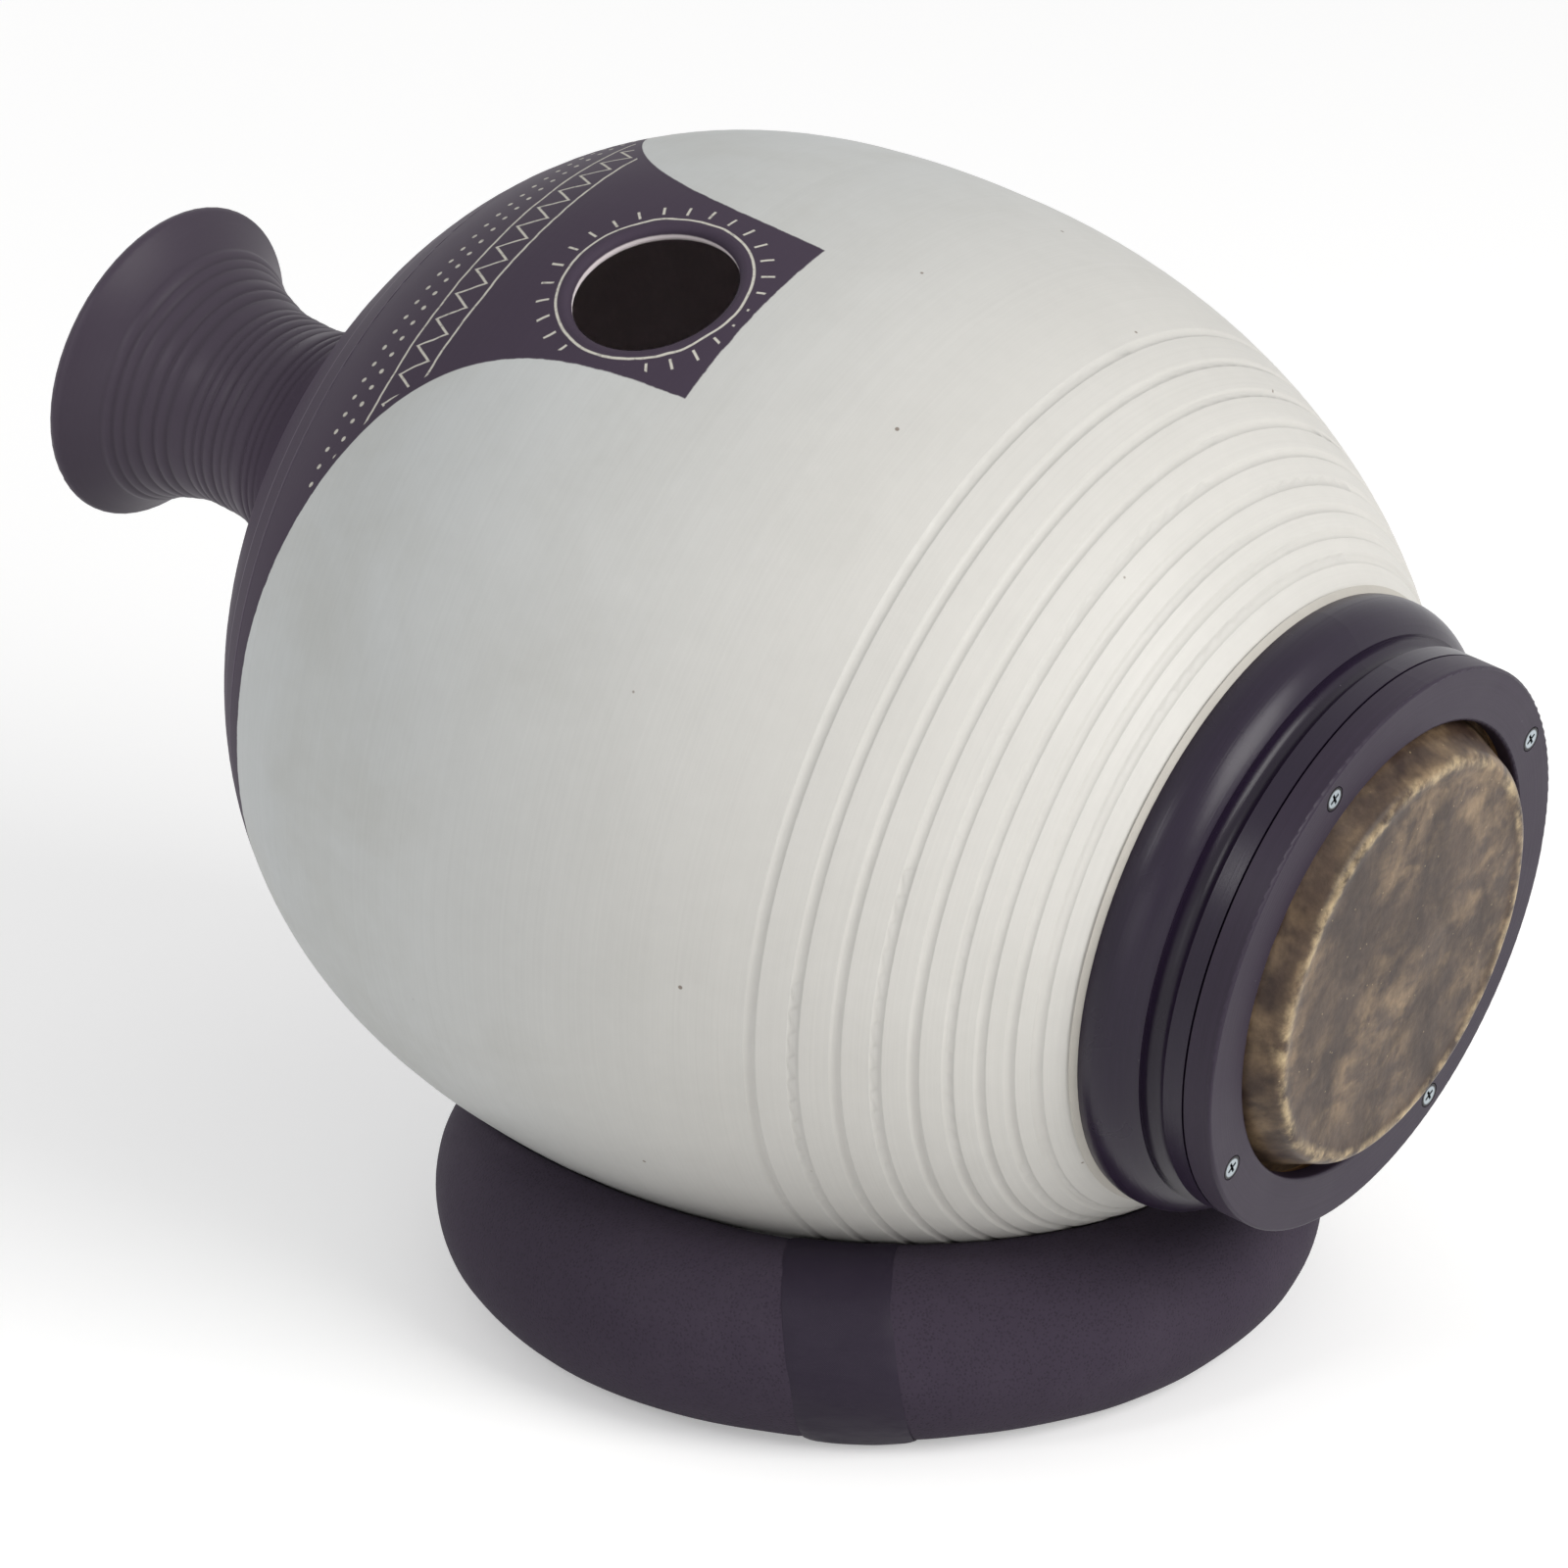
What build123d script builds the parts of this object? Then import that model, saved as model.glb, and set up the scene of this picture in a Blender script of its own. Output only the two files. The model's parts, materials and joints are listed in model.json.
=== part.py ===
"""Udu drum: a clay pot with a neck, a side hole and a clamped skin head, resting on a foam ring.

Lengths are in mm. The frame has its origin on the floor at the middle of the foam ring, +Z up.
The drum is drawn upright about its own axis: station 0 is the widest section of the belly and
stations grow towards the head. It is then laid down with its head towards +X.
"""
import os
from math import acos, atan2, cos, degrees, radians, sin, sqrt, tan

from build123d import *

# Clay pot
belly_radius = 168.2
head_side_length = 207.4
neck_side_length = 179.7
neck_side_fullness = 2.456
neck_pole_angle = 5.0
pot_wall = 6.0
pot_rim_radius = 73.25
side_hole_radius = 26.0
side_hole_station = -35.9
side_hole_turn = 23.9
side_hole_rounding = 2.4

# Turned grooves on the head side, spread by the angle of the outline and drawn closer near the collar
groove_count = 9
groove_first_angle = 114.67
groove_collar_angle = 3.68
groove_bow = 1.59
groove_wire = 2.6
groove_depth = 0.8

# Fine grooves round the neck side
cap_groove_count = 2
cap_groove_angle = 47.5
cap_groove_step = 4.1
cap_groove_wire = 1.0
cap_groove_depth = 0.4

# Neck, set on by hand: its axis starts a little off the drum's and leans to the side
neck_root_depth = 16.4
neck_off_up = 8.3
neck_off_side = 2.0
neck_tilt_up = 0.2
neck_tilt_side = 4.0
neck_root_rounding = 5.0
throat_length = 59.6
throat_radius = 33.1
throat_wall = 6.0
root_spread = 27.4
mouth_spread = 20.6
mouth_flare = 2.19
bore_spread = 22.2
lip_length = 107.9
lip_set_in = 2.3
lip_wire = 2.5

# Collar on the pot's rim, with its lengths measured from the rim
bead_behind_rim = 12.4
bead_set_in = 4.96
bead_wire = 14.2
collar_behind_rim = 19.0
cove_before_rim = 4.2
cove_wire = 4.0
joint_before_rim = 15.6
seal_thickness = 0.8
seal_overhang = 0.8
ledge_height = 4.0
ledge_width = 4.0

# Head
skin_thickness = 0.8
skin_rise = 8.0
skin_edge_radius = 67.6
skin_spread = 6.4
skin_bend = 3.6
hoop_wall = 6.0
hoop_edge_rounding = 2.5
flesh_hoop_width = 3.6
flesh_hoop_height = 3.5

# Clamp ring and screws
clamp_thickness = 9.4
clamp_wall = 11.8
clamp_opening_gap = 0.7
clamp_edge_rounding = 1.0
screw_count = 4
screw_set_out = 4.5
screw_first_turn = 33.2
screw_radius = 2.0
screw_head_radius = 3.8
screw_head_rim = 0.4
screw_length = 16.0
screw_recess_depth = 1.7
screw_recess_span = 4.2
screw_recess_width = 1.0
insert_radius = 3.1
insert_length = 7.4

# Foam ring with its tape
tube_radius = 29.9
tube_circle_radius = 111.7
tube_height = 28.4
tape_width = 34.0
tape_thickness = 1.2
tape_turn = -59.0
tape_slant = 8.0

# Where the drum lies over the ring
drum_tilt = 8.35
drum_x = -28.35
drum_y = 6.8
seat_press = 3.67

# Clearances: glued pieces of one body, pieces of different bodies, the pot in its seat
glue_gap = 0.1
moving_gap = 0.35
seat_gap = 0.4

pot_rim_station = head_side_length * sqrt(1 - (pot_rim_radius / belly_radius) ** 2)
bead_station = pot_rim_station - bead_behind_rim
bead_circle_radius = belly_radius * sqrt(1 - (bead_station / head_side_length) ** 2) - bead_set_in
collar_back_station = pot_rim_station - collar_behind_rim
cove_station = pot_rim_station + cove_before_rim
joint_station = pot_rim_station + joint_before_rim
clamp_face_station = joint_station + clamp_thickness
skin_station = clamp_face_station + skin_rise
collar_top_station = joint_station - 2 * moving_gap
flange_station = collar_top_station + glue_gap
flesh_hoop_station = flange_station + skin_thickness + glue_gap
rabbet_station = flesh_hoop_station + flesh_hoop_height + moving_gap
hoop_radius = skin_edge_radius - skin_thickness - 2 * glue_gap
collar_ledge_station = pot_rim_station + glue_gap + seal_thickness + ledge_height
skin_foot_radius = skin_edge_radius + skin_spread
skin_slope = atan2(skin_station - flange_station - skin_thickness, skin_spread + skin_thickness / 2)
flesh_hoop_inner = skin_foot_radius + skin_bend * tan(skin_slope / 2) + glue_gap
flange_radius = flesh_hoop_inner + flesh_hoop_width
rabbet_radius = flange_radius + moving_gap
clamp_opening_radius = skin_foot_radius + clamp_opening_gap
screw_circle_radius = rabbet_radius + screw_set_out
head_radius = rabbet_radius + clamp_wall
lip_circle_radius = throat_radius + mouth_spread - lip_set_in
neck_root_station = neck_root_depth - neck_side_length
seat_reach = belly_radius + tube_radius - seat_press
drum_z = tube_height + sqrt(seat_reach ** 2 - tube_circle_radius ** 2)

head_way = Vector(cos(radians(drum_tilt)), 0, -sin(radians(drum_tilt)))
up_way = Vector(sin(radians(drum_tilt)), 0, cos(radians(drum_tilt)))
drum_place = Plane(origin=(drum_x, drum_y, drum_z), x_dir=up_way, z_dir=head_way).location
neck_way = Vector(tan(radians(neck_tilt_up)), -tan(radians(neck_tilt_side)), -1)
neck_place = Plane(origin=(neck_off_up, neck_off_side, neck_root_station), x_dir=(-1, 1, 0), z_dir=neck_way).location


def belly_point(angle, growth=0.0):
    """Point of the belly outline as (radius, 0, station): 0 is the neck pole, 90 the widest section."""
    across = belly_radius + growth
    if angle <= 90:
        power = 2 / neck_side_fullness
        station = -(neck_side_length + growth) * max(cos(radians(angle)), 0) ** power
        return (across * sin(radians(angle)) ** power, 0, station)
    station = -(head_side_length + growth) * cos(radians(angle))
    return (across * sin(radians(angle)), 0, station)


def outline_angle(station, growth=0.0):
    """Angle at which the head side of the belly outline reaches a station."""
    return 180 - degrees(acos(station / (head_side_length + growth)))


def belly_curve(growth, first_angle, last_angle, steps):
    """Spline along the belly outline between two angles."""
    span = last_angle - first_angle
    return Spline(*[belly_point(first_angle + span * i / steps, growth) for i in range(steps + 1)])


def belly_solid(growth, last_station):
    """Full belly, grown by an even allowance, with a small flat at the neck and one at a station."""
    curve = belly_curve(growth, neck_pole_angle, outline_angle(last_station, growth), 24)
    pole, rim = curve @ 0, curve @ 1
    edge = Polyline(rim, (0, 0, rim.Z), (0, 0, pole.Z), pole)
    return revolve(make_face([curve, edge]), Axis.Z)


def turned(points):
    """Solid turned about the drum axis from a closed outline of (radius, station) corners."""
    corners = [(radius, 0, station) for radius, station in points]
    return revolve(make_face(Polyline(*corners, close=True)), Axis.Z)


def round_ring(circle_radius, wire, station):
    """Plain round ring about the drum axis."""
    return Pos(0, 0, station) * Torus(circle_radius, wire)


def ring_groove(angle, wire, depth):
    """Round ring that sinks into the belly by a depth, at an angle of the outline."""
    radius, _, station = belly_point(angle, wire - depth)
    return round_ring(radius, wire, station)


def neck_radius(length, start, spread):
    """Radius of the trumpet shape of the neck at a length from its root."""
    if length > throat_length:
        return start + spread * ((length - throat_length) / (lip_length - throat_length)) ** mouth_flare
    return start + root_spread * (1 - length / throat_length) ** 2


def trumpet(start, spread, last):
    """Solid trumpet about the neck axis, from the root to a length."""
    steps = 12
    stops = [last * i / steps for i in range(steps + 1)]
    curve = Spline(*[(neck_radius(stop, start, spread), 0, stop) for stop in stops])
    edge = Polyline(curve @ 1, (0, 0, last), (0, 0, 0), curve @ 0)
    return revolve(make_face([curve, edge]), Axis.Z)


def make_neck():
    """Trumpet neck with a rounded lip."""
    neck = trumpet(throat_radius, mouth_spread, lip_length - lip_wire / 2)
    return neck + round_ring(lip_circle_radius, lip_wire, lip_length)


def make_pot():
    """Fired pot in one piece: belly, grooves, neck, side hole and open rim for the head."""
    belly = belly_solid(0, pot_rim_station)
    neck = neck_place * make_neck()
    pot = belly + neck
    pot = fillet(new_edges(belly, neck, combined=pot), neck_root_rounding)
    pot -= belly_solid(-pot_wall, pot_rim_station + pot_wall)
    bore_end = lip_length + 2 * lip_wire
    pot -= neck_place * trumpet(throat_radius - throat_wall, bore_spread, bore_end)
    drill = Cylinder(side_hole_radius, 2 * belly_radius, align=(Align.CENTER, Align.CENTER, Align.MIN))
    drill = Pos(0, 0, side_hole_station) * Rot(0, 0, side_hole_turn) * Rot(0, 90, 0) * drill
    plain = pot
    pot = plain - drill
    pot = fillet(new_edges(plain, drill, combined=pot), side_hole_rounding)
    groove_last_angle = outline_angle(collar_back_station) - groove_collar_angle
    grooves = []
    for i in range(groove_count):
        share = i / (groove_count - 1)
        angle = groove_first_angle + (groove_last_angle - groove_first_angle) * share
        angle += groove_bow * sin(radians(180 * share))
        grooves.append(ring_groove(angle, groove_wire, groove_depth))
    for i in range(cap_groove_count):
        grooves.append(ring_groove(cap_groove_angle - cap_groove_step * i, cap_groove_wire, cap_groove_depth))
    return pot - grooves


def seat_on_pot(growth, first_station):
    """Outline of the pot's rim zone grown by an allowance, from a station to the rim."""
    return belly_curve(growth, outline_angle(first_station, growth), outline_angle(pot_rim_station, growth), 8)


def make_collar_seal():
    """Layer of sealant between pot and collar, with the bead pressed out at the back."""
    inner = seat_on_pot(glue_gap, collar_back_station - seal_overhang)
    outer = seat_on_pot(glue_gap + seal_thickness, collar_back_station - seal_overhang)
    ends = [Line(inner @ 0, outer @ 0), Line(inner @ 1, outer @ 1)]
    return revolve(make_face([inner, outer] + ends), Axis.Z)


def make_collar():
    """Turned collar: half-round bead, cove, head step, and a ledge for the bearing hoop."""
    growth = 2 * glue_gap + seal_thickness
    seat = seat_on_pot(growth, collar_back_station)
    back, front = seat @ 0, seat @ 1
    bore = hoop_radius + glue_gap
    block_bottom = front.Z
    outside = bead_circle_radius + 2 * bead_wire
    outer_edge = Polyline(back, (outside, 0, back.Z), (outside, 0, block_bottom), front)
    bead_zone = revolve(make_face([seat, outer_edge]), Axis.Z)
    bead = bead_zone & round_ring(bead_circle_radius, bead_wire, bead_station)
    step = turned([
        (bore - ledge_width, block_bottom),
        (head_radius, block_bottom),
        (head_radius, collar_top_station),
        (bore, collar_top_station),
        (bore, collar_ledge_station),
        (bore - ledge_width, collar_ledge_station),
    ])
    collar = bead + step
    collar -= round_ring(head_radius, cove_wire, cove_station)
    for place in PolarLocations(screw_circle_radius, screw_count, screw_first_turn):
        depth = insert_length + 2 * glue_gap
        pocket = Cylinder(insert_radius + glue_gap, depth, align=(Align.CENTER, Align.CENTER, Align.MAX))
        collar -= Pos(0, 0, collar_top_station) * place * pocket
    return collar


def make_bearing_hoop():
    """Wooden hoop over whose rounded edge the skin is drawn."""
    top = skin_station - skin_thickness - glue_gap
    inner = hoop_radius - hoop_wall
    hoop = turned([
        (inner, collar_ledge_station + glue_gap),
        (hoop_radius, collar_ledge_station + glue_gap),
        (hoop_radius, top),
        (inner, top),
    ])
    top_edges = hoop.edges().filter_by(GeomType.CIRCLE).group_by(Axis.Z)[-1]
    return fillet(top_edges, hoop_edge_rounding)


def make_drum_skin():
    """Skin over the hoop's edge, down its side and out under the flesh hoop."""
    top = skin_station - skin_thickness / 2
    foot = flange_station + skin_thickness / 2
    edge_radius = skin_edge_radius - skin_thickness / 2
    path = FilletPolyline(
        (0, 0, top),
        (edge_radius, 0, top),
        (skin_foot_radius, 0, foot),
        (flange_radius, 0, foot),
        radius=skin_bend,
    )
    upper = offset_path(path, skin_thickness / 2)
    lower = offset_path(path, -skin_thickness / 2)
    ends = [Line(upper @ 0, lower @ 0), Line(upper @ 1, lower @ 1)]
    return revolve(make_face(upper.edges() + lower.edges() + ends), Axis.Z)


def make_flesh_hoop():
    """Flat hoop that holds the skin's edge."""
    top = flesh_hoop_station + flesh_hoop_height
    return turned([
        (flesh_hoop_inner, flesh_hoop_station),
        (flesh_hoop_inner + flesh_hoop_width, flesh_hoop_station),
        (flesh_hoop_inner + flesh_hoop_width, top),
        (flesh_hoop_inner, top),
    ])


def countersunk_body(allowance, length):
    """Countersunk screw form with its head's face at zero, grown by an allowance."""
    head = screw_head_radius + allowance
    shank = screw_radius + allowance
    return turned([
        (0, 0),
        (head, 0),
        (head, -screw_head_rim),
        (shank, -screw_head_rim - (head - shank)),
        (shank, -length),
        (0, -length),
    ])


def make_clamp_ring():
    """Ring that presses the flesh hoop down, with four countersunk holes."""
    ring = turned([
        (clamp_opening_radius, clamp_face_station),
        (head_radius, clamp_face_station),
        (head_radius, joint_station),
        (rabbet_radius, joint_station),
        (rabbet_radius, rabbet_station),
        (clamp_opening_radius, rabbet_station),
    ])
    face_edges = ring.edges().filter_by(GeomType.CIRCLE).group_by(Axis.Z)[-1]
    ring = fillet(face_edges, clamp_edge_rounding)
    for place in screw_places():
        ring -= place * countersunk_body(moving_gap, 2 * clamp_thickness)
    return ring


def screw_places():
    """Places of the screw heads on the face of the clamp ring."""
    return Pos(0, 0, clamp_face_station) * PolarLocations(screw_circle_radius, screw_count, screw_first_turn)


def make_tuning_screw():
    """Countersunk machine screw with a cross recess, head face at zero."""
    screw = countersunk_body(0, screw_length)
    slot = Box(screw_recess_span, screw_recess_width, 2 * screw_recess_depth)
    cross = slot + Rot(0, 0, 90) * slot
    screw -= cross
    tip = screw.edges().filter_by(GeomType.CIRCLE).group_by(Axis.Z)[0]
    return chamfer(tip, screw_radius / 4)


def make_threaded_insert():
    """Brass insert in the collar, top at zero."""
    insert = turned([
        (screw_radius + moving_gap, 0),
        (insert_radius, 0),
        (insert_radius, -insert_length),
        (screw_radius + moving_gap, -insert_length),
    ])
    return insert


def tube(growth):
    """Round tube of the foam ring, grown by an allowance."""
    return round_ring(tube_circle_radius, tube_radius + growth, tube_height)


def above(level):
    """Large block above a level of the floor."""
    size = 4 * (tube_circle_radius + tube_radius)
    return Pos(0, 0, level) * Box(size, size, size, align=(Align.CENTER, Align.CENTER, Align.MIN))


def pot_seat(gap):
    """Space kept free for the pot in its seat."""
    return drum_place * belly_solid(gap, pot_rim_station)


def collar_space(gap):
    """Space kept free for the collar and the head beside the ring."""
    reach = bead_circle_radius + bead_wire + gap
    return drum_place * turned([
        (0, collar_back_station - gap),
        (reach, collar_back_station - gap),
        (reach, skin_station),
        (0, skin_station),
    ])


def tape_zone(width):
    """Block across the tube at the tape's place."""
    length = 3 * tube_radius
    block = Box(length, width, 6 * tube_radius)
    return Rot(0, 0, tape_turn) * Pos(tube_circle_radius, 0, tube_height) * Rot(tape_slant, 0, 0) * block


def make_stand_ring():
    """Foam ring, flat below and pressed to the shape of the pot above."""
    ring = (tube(0) & above(0)) - pot_seat(seat_gap) - collar_space(seat_gap)
    under_tape = tape_thickness + glue_gap
    core = (tube(0) & above(under_tape)) - pot_seat(seat_gap + under_tape)
    zone = tape_zone(tape_width + 2 * glue_gap)
    return (ring - zone) + (core & zone)


def make_stand_tape():
    """Band of tape around the tube where its ends meet."""
    outer = (tube(glue_gap + tape_thickness) & above(0)) - pot_seat(seat_gap)
    inner = (tube(glue_gap) & above(tape_thickness)) - pot_seat(seat_gap + tape_thickness)
    return tape_zone(tape_width) & (outer - inner)


def offset_path(path, distance):
    """Copy of an open path, moved aside by a distance in its own plane."""
    edges = []
    for edge in path.edges():
        if edge.geom_type == GeomType.LINE:
            edges.append(shifted_line(edge, distance))
        else:
            edges.append(shifted_arc(edge, distance))
    return Wire(edges)


def aside(edge, where, distance):
    """Point beside an edge, to the left of its direction in the turning plane."""
    way = edge % where
    return edge @ where + Vector(-way.Z, 0, way.X) * distance


def shifted_line(edge, distance):
    """Straight edge moved aside."""
    return Line(aside(edge, 0, distance), aside(edge, 1, distance))


def shifted_arc(edge, distance):
    """Arc moved aside through three of its points."""
    return ThreePointArc(*[aside(edge, where, distance) for where in (0, 0.5, 1)])


def write(name, part):
    """Write one node as a STEP file."""
    export_step(part, f"parts/{name}.step")


def main():
    """Build every node and write it."""
    os.makedirs("parts", exist_ok=True)
    write("pot", drum_place * make_pot())
    write("collar_seal", drum_place * make_collar_seal())
    write("collar", drum_place * make_collar())
    write("bearing_hoop", drum_place * make_bearing_hoop())
    write("drum_skin", drum_place * make_drum_skin())
    write("flesh_hoop", drum_place * make_flesh_hoop())
    write("clamp_ring", drum_place * make_clamp_ring())
    inserts = Pos(0, 0, collar_top_station) * PolarLocations(screw_circle_radius, screw_count, screw_first_turn)
    for i, (screw_place, insert_place) in enumerate(zip(screw_places(), inserts), 1):
        write(f"tuning_screw_{i}", drum_place * screw_place * make_tuning_screw())
        write(f"threaded_insert_{i}", drum_place * insert_place * make_threaded_insert())
    write("stand_ring", make_stand_ring())
    write("stand_tape", make_stand_tape())


main()
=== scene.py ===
"""Looks of an udu drum: a slip-painted clay pot with a clamped skin head, lying on a foam ring.

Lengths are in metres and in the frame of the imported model: the origin is on the floor at the
middle of the foam ring, +Z is up and the head of the drum points towards +X. Stations along an
axis, as the materials use them, and the sizes of the new pieces are in millimetres.
"""
import json
import logging
import math
from dataclasses import dataclass
from enum import Enum
from typing import Dict, Iterable, List, Mapping, Optional, Sequence, Tuple, Union

import bpy
from mathutils import Matrix, Vector, noise


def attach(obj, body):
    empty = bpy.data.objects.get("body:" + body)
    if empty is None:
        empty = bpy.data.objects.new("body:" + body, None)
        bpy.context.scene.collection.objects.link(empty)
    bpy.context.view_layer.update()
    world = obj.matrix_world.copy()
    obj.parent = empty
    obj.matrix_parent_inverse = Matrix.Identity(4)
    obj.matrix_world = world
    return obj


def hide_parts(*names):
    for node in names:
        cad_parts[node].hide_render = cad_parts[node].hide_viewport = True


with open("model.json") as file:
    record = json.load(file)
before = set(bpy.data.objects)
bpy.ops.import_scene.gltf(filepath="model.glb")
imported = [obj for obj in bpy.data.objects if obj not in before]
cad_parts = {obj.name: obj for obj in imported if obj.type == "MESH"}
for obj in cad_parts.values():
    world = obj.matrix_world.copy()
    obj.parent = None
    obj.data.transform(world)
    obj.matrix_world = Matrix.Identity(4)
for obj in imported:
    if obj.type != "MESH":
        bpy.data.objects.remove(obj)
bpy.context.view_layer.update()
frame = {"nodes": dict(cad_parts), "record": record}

log = logging.getLogger("udu_drum")

MM = 0.001
Socket = bpy.types.NodeSocket
Sockets = Mapping[str, Socket]
Feed = Union[Socket, float, Sequence[float]]
Colour = Tuple[float, float, float, float]
Range = Tuple[float, float]


def paint(red: int, green: int, blue: int) -> Colour:
    """Linear colour of a paint that is given as it looks on a screen.

    Args:
        red: Red part, from 0 to 255.
        green: Green part.
        blue: Blue part.

    Returns:
        The colour, with full alpha.
    """
    parts = [value / 255 for value in (red, green, blue)]
    straight = [p / 12.92 if p <= 0.04045 else ((p + 0.055) / 1.055) ** 2.4 for p in parts]
    return (straight[0], straight[1], straight[2], 1.0)


def soft_max(value: float, floor: float, softness: float) -> float:
    """Larger of two numbers, with a rounded change between them."""
    gap = value - floor
    return floor + 0.5 * (gap + math.sqrt(gap * gap + softness * softness))


def ease(value: float, low: float, high: float) -> float:
    """Smooth step from 0 at low to 1 at high."""
    share = min(max((value - low) / (high - low), 0.0), 1.0)
    return share * share * (3 - 2 * share)


@dataclass(frozen=True)
class TurnedAxis:
    """Axis of a turned piece, with the way from which a turn is counted."""

    origin: Vector
    along: Vector
    up: Vector

    @property
    def side(self) -> Vector:
        """Third way, towards which the turn grows."""
        return self.along.cross(self.up)

    def matrix(self) -> Matrix:
        """Place of a piece that is drawn upright about Z."""
        columns = Matrix((self.up, self.side, self.along)).transposed().to_4x4()
        return Matrix.Translation(self.origin) @ columns


@dataclass(frozen=True)
class Belly:
    """Outline of the clay belly, in millimetres from its widest section."""

    radius: float = 168.2
    head_length: float = 207.4
    neck_length: float = 179.7
    neck_fullness: float = 2.456

    def radius_at(self, station: float) -> float:
        """Outer radius at a station.

        Args:
            station: Place along the drum's axis, below zero towards the neck.

        Returns:
            The radius.
        """
        if station < 0:
            share = min(-station / self.neck_length, 1.0)
            return self.radius * (1 - share ** self.neck_fullness) ** (1 / self.neck_fullness)
        share = min(station / self.head_length, 1.0)
        return self.radius * math.sqrt(1 - share * share)


@dataclass(frozen=True)
class NeckSeat:
    """Where the neck stands on the drum, and how it leans from the drum's own axis."""

    station: float = -163.3
    off_up: float = 8.3
    off_side: float = 2.0
    lean_up: float = math.radians(0.2)
    lean_side: float = math.radians(4.0)

    def axis(self, drum: TurnedAxis) -> TurnedAxis:
        """Axis of the neck, which points out of the pot.

        Args:
            drum: Axis of the drum.

        Returns:
            The neck's axis.
        """
        sideways = drum.up * math.tan(self.lean_up) - drum.side * math.tan(self.lean_side)
        way = (sideways - drum.along).normalized()
        up = (drum.up - way * drum.up.dot(way)).normalized()
        root = drum.along * self.station + drum.up * self.off_up + drum.side * self.off_side
        return TurnedAxis(drum.origin + root * MM, way, up)


DRUM_TILT = math.radians(8.35)
DRUM = TurnedAxis(
    origin=Vector((-28.35, 6.8, 187.54)) * MM,
    along=Vector((math.cos(DRUM_TILT), 0, -math.sin(DRUM_TILT))),
    up=Vector((math.sin(DRUM_TILT), 0, math.cos(DRUM_TILT))),
)
NECK = NeckSeat().axis(DRUM)
BELLY = Belly()


@dataclass(frozen=True)
class Clouding:
    """Cloudy noise: its scale, octaves, roughness and warp, and a stretch along each way."""

    scale: float
    detail: float = 3.0
    rough: float = 0.5
    warp: float = 0.0
    stretch: Tuple[float, float, float] = (1.0, 1.0, 1.0)


@dataclass(frozen=True)
class Ramp:
    """Smooth step of a value from low to high, with the results below and above it."""

    low: float
    high: float
    first: float = 0.0
    last: float = 1.0


@dataclass(frozen=True)
class Specks:
    """Sparse specks: cells to a metre, size in a cell, share of the cells and how strong they show."""

    scale: float
    size: float
    share: float
    strength: float


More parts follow.
